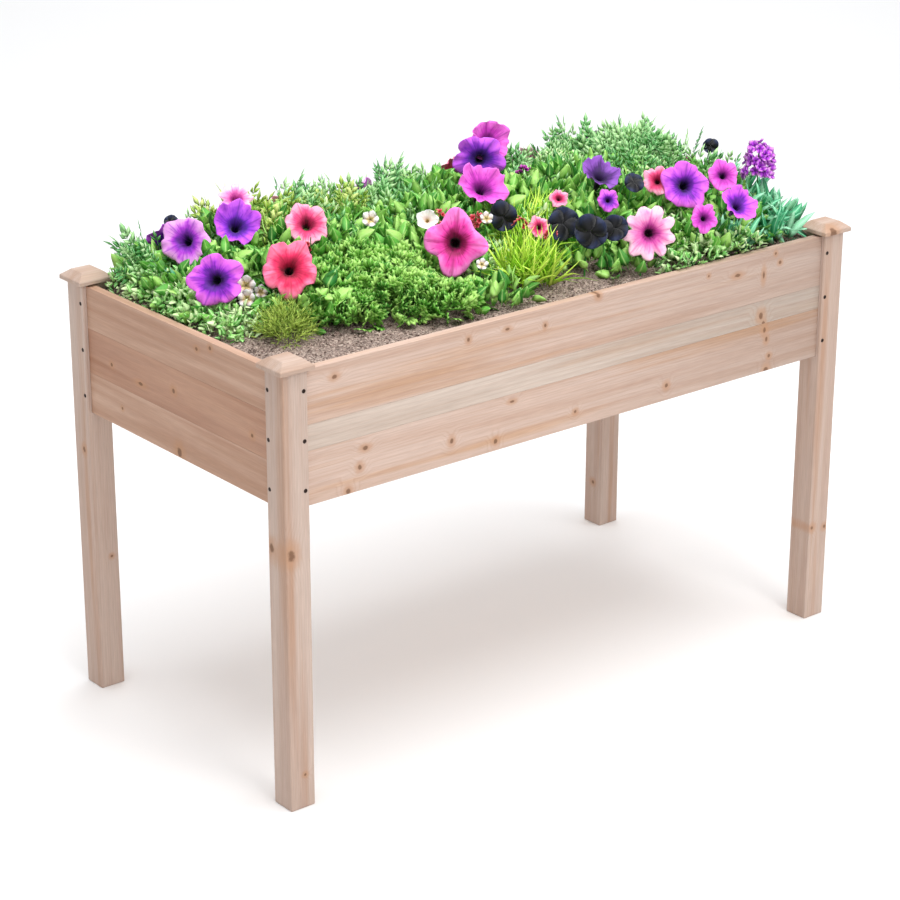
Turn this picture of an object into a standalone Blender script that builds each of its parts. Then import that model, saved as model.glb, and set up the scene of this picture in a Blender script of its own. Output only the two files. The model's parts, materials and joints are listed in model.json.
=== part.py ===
"""Raised garden planter: four grooved legs with caps, glued board sides, a slatted floor, liner, soil, plants.

Metres, +Z up. The origin is on the ground at the middle of the planter. +X runs along the length, and the
front, the long side with its three boards, faces -Y.
"""

import math

import bmesh
import bpy
from mathutils import Vector

# Overall sizes, measured over the outside faces of the legs.
BED_LENGTH = 1.200
BED_WIDTH = 0.606
LEG_HEIGHT = 0.730

# A leg: a square post with a groove in each of its two inward sides.
LEG_SIZE = 0.046
LEG_EASING = 0.002
GROOVE_LIP = 0.008
GROOVE_DEPTH = 0.012

# A side: three boards glued edge to edge, standing in the grooves.
SIDE_HEIGHT = 0.220
SIDE_DROP = 0.003
BOARD_THICKNESS = 0.016
BOARD_EASING = 0.0012
LONG_MIDDLE_BOARD = 0.042
SHORT_MIDDLE_BOARD = 0.077

# A cap: a square slab with a sloped top that ends in a small flat.
CAP_OVERHANG = 0.009
CAP_EDGE = 0.007
CAP_RISE = 0.011
CAP_FLAT = 0.035
CAP_EASING = 0.0012

# A countersunk wood screw, driven through the lip, the board and into the leg.
SCREW_SHANK_RADIUS = 0.0020
SCREW_HEAD_RADIUS = 0.0034
SCREW_HEAD_DEPTH = 0.0022
SCREW_HEAD_RIM = 0.0005
SCREW_POINT = 0.0040
SCREW_BITE = 0.0060
SCREW_END_INSET = 0.030
SCREW_EDGE_INSET = 0.007
SCREW_SIDES = 10

# The floor: rails inside the sides, with slats across them.
RAIL_THICKNESS = 0.020
RAIL_HEIGHT = 0.025
SLAT_COUNT = 6
SLAT_GAP = 0.008
SLAT_THICKNESS = 0.012

# What the bed holds.
LINER_THICKNESS = 0.0015
SOIL_DROP = 0.012
CLUMP_NAMES = ("petunia_clump_left", "herb_clump", "grass_clump", "petunia_clump_right")
CLUMP_HEIGHTS = (0.150, 0.150, 0.172, 0.155)
CLUMP_MARGIN = 0.030
CLUMP_GAP = 0.004
CLUMP_FULLNESS = 0.55
CLUMP_SIDES = 16
CLUMP_RINGS = 5

# Gap between pieces that touch, and how far a cutter runs out of the piece that it cuts.
GAP = 0.0003
RUN_OUT = 0.004

SIDE_TOP = LEG_HEIGHT - SIDE_DROP
SIDE_BOTTOM = SIDE_TOP - SIDE_HEIGHT
FLOOR_TOP = SIDE_BOTTOM + RAIL_HEIGHT + GAP + SLAT_THICKNESS
SOIL_TOP = SIDE_TOP - SOIL_DROP
WALL = GROOVE_LIP + BOARD_THICKNESS
SCREW_LENGTH = WALL + SCREW_BITE
SCREW_HEIGHTS = {
    "top": SIDE_TOP - SCREW_END_INSET,
    "middle": (SIDE_TOP + SIDE_BOTTOM) / 2,
    "bottom": SIDE_BOTTOM + SCREW_END_INSET,
}
LEFT_RIGHT = {"left": -1, "right": 1}
FRONT_BACK = {"front": -1, "back": 1}


def clear_scene():
    for old in list(bpy.data.objects):
        bpy.data.objects.remove(old, do_unlink=True)


def new_collection(name):
    collection = bpy.data.collections.new(name)
    bpy.context.scene.collection.children.link(collection)
    return collection


def linear(channel):
    """One sRGB channel, 0 to 255, as a linear value."""
    value = channel / 255
    return value / 12.92 if value <= 0.04045 else ((value + 0.055) / 1.055) ** 2.4


def material(name, hex_colour, roughness, metallic=0.0):
    """A Principled material of one colour, given as six hex digits."""
    made = bpy.data.materials.new(name)
    made.use_nodes = True
    shader = made.node_tree.nodes["Principled BSDF"]
    colour = [linear(int(hex_colour[i : i + 2], 16)) for i in (0, 2, 4)]
    shader.inputs["Base Color"].default_value = (*colour, 1.0)
    shader.inputs["Roughness"].default_value = roughness
    shader.inputs["Metallic"].default_value = metallic
    return made


def add_object(name, mesh, finish=None, location=(0, 0, 0), rotation=(0, 0, 0)):
    """A visible sub-part, or a wire-drawn cutter where it has no finish."""
    made = bpy.data.objects.new(name, mesh)
    made.location = location
    made.rotation_euler = rotation
    if finish:
        mesh.materials.clear()
        mesh.materials.append(finish)
        PARTS.objects.link(made)
    else:
        made.hide_render = True
        made.display_type = "WIRE"
        CUTTERS.objects.link(made)
    return made


def box_mesh(name, size, easing=0.0, eased=None):
    """A box about its own centre. The edges that eased(middle of the edge) picks are rounded."""
    shape = bmesh.new()
    bmesh.ops.create_cube(shape, size=1.0)
    bmesh.ops.scale(shape, vec=size, verts=shape.verts)
    if eased:
        picked = [edge for edge in shape.edges if eased((edge.verts[0].co + edge.verts[1].co) / 2)]
        bmesh.ops.bevel(shape, geom=picked, offset=easing, segments=2, profile=0.5, affect="EDGES")
    mesh = bpy.data.meshes.new(name)
    shape.to_mesh(mesh)
    shape.free()
    return mesh


def turned_mesh(name, profile, sides):
    """A mesh turned about Z from (radius, height) points that run from the top down."""
    mesh = bpy.data.meshes.new(name)
    points = [(radius, 0, height) for radius, height in profile]
    mesh.from_pydata(points, [(i, i + 1) for i in range(len(points) - 1)], [])
    lathe = bpy.data.objects.new(name, mesh)
    CUTTERS.objects.link(lathe)
    turn = lathe.modifiers.new("Turn", "SCREW")
    turn.axis = "Z"
    turn.angle = math.tau
    turn.steps = sides
    turn.render_steps = sides
    turn.use_merge_vertices = True
    turn.merge_threshold = 0.00005
    return settled(lathe)


def settled(source):
    """The evaluated mesh of an object, with flat areas merged. The object itself is removed."""
    graph = bpy.context.evaluated_depsgraph_get()
    mesh = bpy.data.meshes.new_from_object(source.evaluated_get(graph))
    mesh.name = source.name
    mesh.transform(source.matrix_world)
    bpy.data.objects.remove(source, do_unlink=True)
    shape = bmesh.new()
    shape.from_mesh(mesh)
    bmesh.ops.remove_doubles(shape, verts=shape.verts, dist=0.00001)
    bmesh.ops.dissolve_limit(shape, angle_limit=0.001, verts=shape.verts, edges=shape.edges)
    shape.to_mesh(mesh)
    shape.free()
    return mesh


def slab_mesh(name, outline, low, high):
    """A flat outline, as one face, drawn up from one height to another."""
    shape = bmesh.new()
    base = shape.faces.new([shape.verts.new((x, y, low)) for x, y in outline])
    drawn = bmesh.ops.extrude_face_region(shape, geom=[base])["geom"]
    raised = [item for item in drawn if isinstance(item, bmesh.types.BMVert)]
    bmesh.ops.translate(shape, vec=(0, 0, high - low), verts=raised)
    bmesh.ops.recalc_face_normals(shape, faces=shape.faces)
    mesh = bpy.data.meshes.new(name)
    shape.to_mesh(mesh)
    shape.free()
    return mesh


def tray_mesh(name, outline, low, high, wall):
    """A slab made a tray: its upward face is drawn in by the wall, then pushed down to leave the floor."""
    mesh = slab_mesh(name, outline, low, high)
    shape = bmesh.new()
    shape.from_mesh(mesh)
    top = max(shape.faces, key=lambda face: face.calc_center_median().z)
    bmesh.ops.inset_region(shape, faces=[top], thickness=wall, use_even_offset=True)
    floor = bmesh.ops.extrude_discrete_faces(shape, faces=[top])["faces"][0]
    bmesh.ops.translate(shape, vec=(0, 0, low + wall - high), verts=floor.verts)
    shape.to_mesh(mesh)
    shape.free()
    return mesh


def cut(target, cutters):
    """Takes all the cutters' shapes out of the target in one step."""
    group = bpy.data.collections.new(f"{target.name}_cutters")
    CUTTERS.children.link(group)
    for cutter in cutters:
        group.objects.link(cutter)
    boolean = target.modifiers.new("Cut", "BOOLEAN")
    boolean.operation = "DIFFERENCE"
    boolean.solver = "EXACT"
    boolean.operand_type = "COLLECTION"
    boolean.collection = group


def screw_profile(clearance=0.0, run_out=0.0):
    """(radius, height) points of the screw, head at the top, grown by a clearance to make its hole."""
    shank = SCREW_SHANK_RADIUS + clearance
    head = SCREW_HEAD_RADIUS + clearance
    return [
        (0, run_out),
        (head, run_out),
        (head, -SCREW_HEAD_RIM),
        (shank, -SCREW_HEAD_DEPTH),
        (shank, SCREW_POINT - SCREW_LENGTH),
        (0, -SCREW_LENGTH - clearance),
    ]


def screw_places():
    """Each screw: its name, its leg's name, the side it holds, its place on the leg's face and its direction."""
    along = BED_LENGTH / 2 - LEG_SIZE + SCREW_EDGE_INSET
    across = BED_WIDTH / 2 - LEG_SIZE + SCREW_EDGE_INSET
    places = []
    for depth_name, depth_sign in FRONT_BACK.items():
        for width_name, width_sign in LEFT_RIGHT.items():
            leg = f"{depth_name}_{width_name}"
            for level, height in SCREW_HEIGHTS.items():
                long_face = Vector((width_sign * along, depth_sign * BED_WIDTH / 2, height))
                short_face = Vector((width_sign * BED_LENGTH / 2, depth_sign * across, height))
                inward_y = Vector((0, -depth_sign, 0))
                inward_x = Vector((-width_sign, 0, 0))
                places.append((f"{leg}_{depth_name}_screw_{level}", leg, depth_name, long_face, inward_y))
                places.append((f"{leg}_{width_name}_screw_{level}", leg, width_name, short_face, inward_x))
    return places


def make_screws():
    """The screws, and one cutter for each, by the name of its leg and of the side that it holds."""
    finish = material("dark_screw_steel", "3A2A20", 0.45, 0.8)
    screw = turned_mesh("wood_screw", screw_profile(), SCREW_SIDES)
    hole = turned_mesh("screw_hole", screw_profile(GAP, RUN_OUT), SCREW_SIDES)
    holes = []
    for name, leg, side, place, inward in screw_places():
        turn = Vector((0, 0, -1)).rotation_difference(inward).to_euler()
        add_object(name, screw, finish, place, turn)
        cutter = add_object(f"{name}_hole", hole, None, place, turn)
        holes.append((leg, side, place, cutter))
    return holes


def make_leg(name, width_sign, depth_sign, finish, holes):
    """A leg with a groove towards each neighbour. The groove is open at the top, where the boards slide in."""
    half = LEG_SIZE / 2
    centre = (width_sign * (BED_LENGTH / 2 - half), depth_sign * (BED_WIDTH / 2 - half), LEG_HEIGHT / 2)

    def upright_or_foot(middle):
        return abs(middle.z) < LEG_HEIGHT / 4 or middle.z < 0

    post = box_mesh(name, (LEG_SIZE, LEG_SIZE, LEG_HEIGHT), LEG_EASING, upright_or_foot)
    leg = add_object(name, post, finish, centre)
    height = SIDE_HEIGHT + SIDE_DROP + GAP + RUN_OUT
    middle_z = SIDE_BOTTOM - GAP + height / 2
    reach = GROOVE_DEPTH + RUN_OUT
    slot = BOARD_THICKNESS + 2 * GAP
    board_line = GROOVE_LIP + BOARD_THICKNESS / 2
    inner_x = BED_LENGTH / 2 - LEG_SIZE + GROOVE_DEPTH - reach / 2
    inner_y = BED_WIDTH / 2 - LEG_SIZE + GROOVE_DEPTH - reach / 2
    long_place = (width_sign * inner_x, depth_sign * (BED_WIDTH / 2 - board_line), middle_z)
    short_place = (width_sign * (BED_LENGTH / 2 - board_line), depth_sign * inner_y, middle_z)
    long_groove = box_mesh(f"{name}_long_groove", (reach, slot, height))
    short_groove = box_mesh(f"{name}_short_groove", (slot, reach, height))
    grooves = [
        add_object(f"{name}_long_groove", long_groove, None, long_place),
        add_object(f"{name}_short_groove", short_groove, None, short_place),
    ]
    cut(leg, grooves + [cutter for hole_leg, _, _, cutter in holes if f"{hole_leg}_leg" == name])


def make_cap(name, width_sign, depth_sign, finish):
    """A cap: its upper face is drawn up and in to the flat, then every edge is eased."""
    size = LEG_SIZE + 2 * CAP_OVERHANG
    shape = bmesh.new()
    bmesh.ops.create_cube(shape, size=1.0)
    bmesh.ops.scale(shape, vec=(size, size, CAP_EDGE), verts=shape.verts)
    bmesh.ops.translate(shape, vec=(0, 0, CAP_EDGE / 2), verts=shape.verts)
    top = max(shape.faces, key=lambda face: face.calc_center_median().z)
    raised = bmesh.ops.extrude_discrete_faces(shape, faces=[top])["faces"][0]
    shrink = CAP_FLAT / size
    bmesh.ops.scale(shape, vec=(shrink, shrink, 1), verts=raised.verts)
    bmesh.ops.translate(shape, vec=(0, 0, CAP_RISE), verts=raised.verts)
    bmesh.ops.bevel(shape, geom=list(shape.edges), offset=CAP_EASING, segments=2, profile=0.5, affect="EDGES")
    mesh = bpy.data.meshes.new(name)
    shape.to_mesh(mesh)
    shape.free()
    half = LEG_SIZE / 2
    x = width_sign * (BED_LENGTH / 2 - half)
    y = depth_sign * (BED_WIDTH / 2 - half)
    add_object(name, mesh, finish, (x, y, LEG_HEIGHT + GAP))


def make_side(side, sign, is_long, finish, holes):
    """The three boards of one side, with the screws' holes at their ends."""
    overall = BED_LENGTH if is_long else BED_WIDTH
    span = overall - 2 * (LEG_SIZE - GROOVE_DEPTH + GAP)
    middle = LONG_MIDDLE_BOARD if is_long else SHORT_MIDDLE_BOARD
    outer = (SIDE_HEIGHT - middle) / 2
    offset = (BED_WIDTH if is_long else BED_LENGTH) / 2 - GROOVE_LIP - BOARD_THICKNESS / 2
    low = SIDE_BOTTOM
    for level, height in (("bottom", outer), ("middle", middle), ("top", outer)):
        board_height = height - (0 if level == "top" else GAP)
        edge_sign = {"bottom": -1, "middle": 0, "top": 1}[level]

        def outer_arris(point, edge_sign=edge_sign, across=1 if is_long else 0):
            return edge_sign * point.z > 0 and abs(point[across]) > BOARD_THICKNESS / 4 and not point[1 - across]

        size = (span, BOARD_THICKNESS, board_height) if is_long else (BOARD_THICKNESS, span, board_height)
        name = f"{side}_{level}_board"
        centre_z = low + board_height / 2
        place = (0, sign * offset, centre_z) if is_long else (sign * offset, 0, centre_z)
        mesh = box_mesh(name, size, BOARD_EASING, outer_arris if edge_sign else None)
        board = add_object(name, mesh, finish, place)
        reach = board_height / 2 + SCREW_HEAD_RADIUS
        cut(board, [hole for _, held, spot, hole in holes if held == side and abs(spot.z - centre_z) < reach])
        low += height


def make_floor(finish):
    """Rails along the foot of the four sides, and slats across the long rails, between the short ones."""
    end_reach = max(LEG_SIZE, WALL + GAP + RAIL_THICKNESS) + GAP
    long_span = BED_LENGTH - 2 * (LEG_SIZE + GAP)
    short_span = BED_WIDTH - 2 * end_reach
    end_height = RAIL_HEIGHT + GAP + SLAT_THICKNESS
    inset = WALL + GAP + RAIL_THICKNESS / 2
    for name, sign in FRONT_BACK.items():
        rail = box_mesh(f"{name}_rail", (long_span, RAIL_THICKNESS, RAIL_HEIGHT))
        place = (0, sign * (BED_WIDTH / 2 - inset), SIDE_BOTTOM + RAIL_HEIGHT / 2)
        add_object(f"{name}_rail", rail, finish, place)
    for name, sign in LEFT_RIGHT.items():
        rail = box_mesh(f"{name}_rail", (RAIL_THICKNESS, short_span, end_height))
        place = (sign * (BED_LENGTH / 2 - inset), 0, SIDE_BOTTOM + end_height / 2)
        add_object(f"{name}_rail", rail, finish, place)
    slat_span = BED_LENGTH - 2 * end_reach
    slat_width = (slat_span - (SLAT_COUNT - 1) * SLAT_GAP) / SLAT_COUNT
    slat_length = BED_WIDTH - 2 * (WALL + GAP)
    for number in range(SLAT_COUNT):
        x = (number - (SLAT_COUNT - 1) / 2) * (slat_width + SLAT_GAP)
        name = f"floor_slat_{number + 1}"
        slat = box_mesh(name, (slat_width, slat_length, SLAT_THICKNESS))
        add_object(name, slat, finish, (x, 0, FLOOR_TOP - SLAT_THICKNESS / 2))


def bed_outline(inset):
    """The outline of the bed inside its boards, stepped round the legs and drawn in by an inset."""
    wall_x = BED_LENGTH / 2 - WALL - inset
    wall_y = BED_WIDTH / 2 - WALL - inset
    step_x = BED_LENGTH / 2 - LEG_SIZE - inset
    step_y = BED_WIDTH / 2 - LEG_SIZE - inset
    outline = []
    for sign_x, sign_y in ((1, 1), (-1, 1), (-1, -1), (1, -1)):
        corner = [(wall_x, step_y), (step_x, step_y), (step_x, wall_y)]
        if sign_x != sign_y:
            corner.reverse()
        outline += [(sign_x * x, sign_y * y) for x, y in corner]
    return outline


def make_liner_and_soil():
    """A felt liner, open at the top, and the soil that fills it."""
    felt = material("black_felt", "2B2A29", 0.95)
    earth = material("potting_soil", "7B6E66", 1.0)
    liner_bottom = FLOOR_TOP + GAP
    tray = tray_mesh("liner", bed_outline(GAP), liner_bottom, SOIL_TOP, LINER_THICKNESS)
    add_object("liner", tray, felt)
    soil_low = liner_bottom + LINER_THICKNESS + GAP
    soil_outline = bed_outline(2 * GAP + LINER_THICKNESS)
    add_object("soil", slab_mesh("soil", soil_outline, soil_low, SOIL_TOP), earth)


def make_clumps():
    """Plants, each clump as one low dome: a quarter of a rounded square turned, then stretched to its plot."""
    leaf = material("leaves", "5E8F3C", 0.8)
    span = BED_LENGTH - 2 * (LEG_SIZE + GAP)
    plot = span / len(CLUMP_NAMES)
    radius_x = (plot - CLUMP_GAP) / 2
    radius_y = BED_WIDTH / 2 - WALL - CLUMP_MARGIN
    for number, (name, height) in enumerate(zip(CLUMP_NAMES, CLUMP_HEIGHTS)):
        angles = [math.pi / 2 * (1 - ring / CLUMP_RINGS) for ring in range(CLUMP_RINGS + 1)]
        profile = [(math.cos(a) ** CLUMP_FULLNESS, height * math.sin(a) ** CLUMP_FULLNESS) for a in angles]
        profile[0] = (0, height)
        dome = turned_mesh(name, profile + [(0, 0)], CLUMP_SIDES)
        for vertex in dome.vertices:
            vertex.co.x *= radius_x
            vertex.co.y *= radius_y
        dome.shade_smooth()
        x = (number + 0.5) * plot - span / 2
        add_object(name, dome, leaf, (x, 0, SOIL_TOP + GAP))


def build():
    fir = material("sanded_fir", "D2B6A2", 0.7)
    end_fir = material("fir_leg", "D6C5B4", 0.7)
    cap_fir = material("fir_cap", "D9C2AC", 0.65)
    floor_fir = material("rough_fir", "B89A84", 0.85)
    holes = make_screws()
    for depth_name, depth_sign in FRONT_BACK.items():
        for width_name, width_sign in LEFT_RIGHT.items():
            corner = f"{depth_name}_{width_name}"
            make_leg(f"{corner}_leg", width_sign, depth_sign, end_fir, holes)
            make_cap(f"{corner}_cap", width_sign, depth_sign, cap_fir)
    for side, sign in FRONT_BACK.items():
        make_side(side, sign, True, fir, holes)
    for side, sign in LEFT_RIGHT.items():
        make_side(side, sign, False, fir, holes)
    make_floor(floor_fir)
    make_liner_and_soil()
    make_clumps()


clear_scene()
PARTS = new_collection("raised_planter")
CUTTERS = new_collection("cutters")
build()
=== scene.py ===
# %% [markdown]
# # A raised garden planter on legs
#
# The timber frame comes from the part's solid model. This script gives the timber its grain and knots,
# sets the screws, fills the bed with soil, and grows the plants in it. Every length is in metres, +Z is
# up, and the front of the planter faces -Y.

# %% Load the frame
import json
import math
import random

import bmesh
import bpy
from mathutils import Matrix, Vector
from mathutils.kdtree import KDTree

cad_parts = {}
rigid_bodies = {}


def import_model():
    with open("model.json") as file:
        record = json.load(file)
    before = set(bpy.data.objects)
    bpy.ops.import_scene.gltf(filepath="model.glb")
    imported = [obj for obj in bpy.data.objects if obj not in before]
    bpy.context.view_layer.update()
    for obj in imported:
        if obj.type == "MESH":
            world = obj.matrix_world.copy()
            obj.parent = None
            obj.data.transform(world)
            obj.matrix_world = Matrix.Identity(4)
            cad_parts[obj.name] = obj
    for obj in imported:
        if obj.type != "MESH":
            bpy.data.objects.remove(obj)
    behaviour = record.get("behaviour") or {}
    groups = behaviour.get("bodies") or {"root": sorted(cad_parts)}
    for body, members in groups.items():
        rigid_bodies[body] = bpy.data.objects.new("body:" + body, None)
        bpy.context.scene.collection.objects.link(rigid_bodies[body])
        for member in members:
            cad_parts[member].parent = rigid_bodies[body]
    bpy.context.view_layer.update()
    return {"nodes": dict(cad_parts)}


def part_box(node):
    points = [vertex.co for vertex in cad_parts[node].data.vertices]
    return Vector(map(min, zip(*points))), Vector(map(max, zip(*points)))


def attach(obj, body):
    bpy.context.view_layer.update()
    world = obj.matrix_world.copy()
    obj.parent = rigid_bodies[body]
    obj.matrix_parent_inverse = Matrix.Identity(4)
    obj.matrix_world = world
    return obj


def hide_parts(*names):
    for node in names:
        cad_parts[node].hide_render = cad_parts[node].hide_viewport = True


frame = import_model()
nodes = frame["nodes"]

# %% [markdown]
# ## Small helpers
#
# Colours are written as the hex values that a colour picker shows, and Blender's sockets want linear
# light, so one function turns the one into the other. Another adds any node, with its settings and its
# links, and gives the output that is wanted from it, which is nearly always the first. Every material and
# every Geometry Nodes tree is built with it. The last few join rings of vertices with faces and make
# meshes and objects of them.

# %% Helpers
MM = 0.001


def linear(code):
    """The linear RGBA of an sRGB hex colour."""
    parts = [int(code[i:i + 2], 16) / 255 for i in (1, 3, 5)]
    return [c / 12.92 if c <= 0.04045 else ((c + 0.055) / 1.055) ** 2.4 for c in parts] + [1.0]


def feed(tree, node, sockets):
    """Gives each socket a value, or another node's output as a link."""
    for key, value in sockets.items():
        if isinstance(value, bpy.types.NodeSocket):
            tree.links.new(value, node.inputs[key])
        else:
            node.inputs[key].default_value = value


def add(tree, kind, sockets=None, out=0, **settings):
    """Adds a node with its settings and its sockets, and gives one of its outputs."""
    node = tree.nodes.new(kind)
    for name, value in settings.items():
        setattr(node, name, value)
    feed(tree, node, sockets or {})
    return node.outputs[out] if node.outputs else node


def new_material(name, **constants):
    """An empty material: its tree and its shader, with constants set on the shader's own sockets."""
    made = bpy.data.materials.new(name)
    made.use_nodes = True
    shader = made.node_tree.nodes["Principled BSDF"]
    feed(made.node_tree, shader, {socket.replace("_", " "): value for socket, value in constants.items()})
    return made, made.node_tree, shader


def ramp(colour, stops):
    """Sets the stops, given as (position, hex colour), of the ramp that this output comes from."""
    band = colour.node.color_ramp
    while len(band.elements) < len(stops):
        band.elements.new(0.5)
    for element, (position, code) in zip(band.elements, stops):
        element.position = position
        element.color = linear(code)
    return colour


def per_mm(size):
    """The texture scale that makes a feature of this size in millimetres."""
    return 1 / (size * MM)


def angles_round(count):
    """Even angles round a circle."""
    return [2 * math.pi * i / count for i in range(count)]


def bridge(bm, rings):
    """Joins each ring of vertices to the next, where a ring may be one point. Gives (place round, face)."""
    made = []
    for lower, upper in zip(rings, rings[1:]):
        for i in range(max(len(lower), len(upper))):
            loop = [lower[i % len(lower)], lower[(i + 1) % len(lower)]]
            loop += [upper[(i + 1) % len(upper)], upper[i % len(upper)]]
            made.append((i, bm.faces.new(list(dict.fromkeys(loop)))))
    return made


def mesh_from(bm, name, outward=False):
    """The mesh of a bmesh, which is freed. outward turns every face of a closed solid outwards."""
    if outward:
        bmesh.ops.recalc_face_normals(bm, faces=bm.faces)
    mesh = bpy.data.meshes.new(name)
    bm.to_mesh(mesh)
    bm.free()
    return mesh


def stand(name, mesh):
    """An object in the scene that holds a mesh."""
    made = bpy.data.objects.new(name, mesh)
    bpy.context.scene.collection.objects.link(made)
    return made


print("mid grey #808080 is", round(linear("#808080")[0], 3), "in linear light")

# %% [markdown]
# ## Camera, floor and light
#
# The planter is seen from its front left, from a little above head height, with a long lens so that its
# legs stay nearly parallel. The floor is one large pale plane. A soft lamp high in front is the key: it
# lights the long front and leaves the left end in half shade. A wide one overhead lights the plants, a
# third keeps the floor behind as pale as the rest, and the pale sky fills the shadows.

# %% Camera
LENS = 105.41
EYE = Vector((-2.7086, -3.3036, 2.0380))
YAW, PITCH, ROLL = math.radians(-38.974), math.radians(21.275), math.radians(0.106)

camera = stand("camera", bpy.data.cameras.new("camera"))
camera.data.lens = LENS
camera.data.sensor_width = 36.0
camera.data.clip_end = 60.0
camera.matrix_world = (
    Matrix.Translation(EYE)
    @ Matrix.Rotation(YAW, 4, "Z")
    @ Matrix.Rotation(math.pi / 2 - PITCH, 4, "X")
    @ Matrix.Rotation(ROLL, 4, "Z")
)
bpy.context.scene.camera = camera
print("the camera stands", round(EYE.length, 2), "m from the planter's origin")

# %% Floor and light
FLOOR_SIZE = 40.0
SKY_STRENGTH = 0.72
PLANTER_MIDDLE = (0.0, 0.0, 0.45)
# (name, place, size, power in watts, colour, what it points at)
LAMPS = (
    ("key", (-0.2, -4.4, 4.2), 1.8, 76.0, "#FFFBF8", PLANTER_MIDDLE),
    ("top", (0.1, -0.5, 4.6), 4.2, 190.0, "#FFFFFF", PLANTER_MIDDLE),
    ("backdrop", (4.2, 5.2, 4.0), 4.0, 60.0, "#FFFFFF", (4.2, 5.3, 0.0)),
)


def lamp(name, place, size, power, colour, aim):
    """A square soft lamp that points at a place."""
    made = stand(name, bpy.data.lights.new(name, "AREA"))
    made.data.size = size
    made.data.energy = power
    made.data.color = linear(colour)[:3]
    made.location = place
    made.rotation_euler = (Vector(aim) - Vector(place)).to_track_quat("-Z", "Y").to_euler()


def make_floor():
    """A pale matt floor that fades into the pale sky."""
    bpy.ops.mesh.primitive_plane_add(size=FLOOR_SIZE)
    floor = bpy.context.object
    floor.name = "studio_floor"
    paint, _, _ = new_material("matt_white_paint", Base_Color=linear("#F4F4F4"), Roughness=0.9)
    floor.data.materials.append(paint)


make_floor()
for row in LAMPS:
    lamp(*row)
world = bpy.data.worlds.new("pale_sky")
world.use_nodes = True
sky = {"Color": linear("#FCFDFF"), "Strength": SKY_STRENGTH}
feed(world.node_tree, world.node_tree.nodes["Background"], sky)
bpy.context.scene.world = world
bpy.context.scene.view_settings.view_transform = "Standard"

# %% [markdown]
# ## Fir, planed and unfinished
#
# The frame is knotty fir with no varnish. What the eye sees is a pale straw wood with pinkish and orange
# streaks that run the length of the board, faint growth rings a few millimetres apart, and small brown
# knots that the rings flow around. A wood photo wrapped on the boards would repeat, and would show the
# same figure on a board's face and on its end. So the wood is a solid pattern in object space instead:
# rings around a heart that lies beside the board, drawn out along the grain.
#
# A knot is a branch that runs through the board, so it is a distance from a point, squeezed so that it
# reaches right through. The smallest of those distances drives three things: the dark core, the warm halo
# around it, and how far the rings are pushed aside.

# %% The fir material
# Sizes in millimetres, apart from the stretch along the grain.
GRAIN_STRETCH = 26.0
RING_SPACING, RING_WANDER, WANDER_LENGTH = 4.2, 32.0, 60.0
BAND_WIDTH, STREAK_WIDTH, FIBRE_WIDTH = 20.0, 34.0, 1.3
KNOT_DEPTH, KNOT_RAGGEDNESS = 60.0, 9.0
LATE_WOOD, KNOT_HALO, KNOT_CORE = "#9C6B4B", "#B4835C", "#6E4A30"
AXES = {"X": 0, "Y": 1, "Z": 2}


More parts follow.
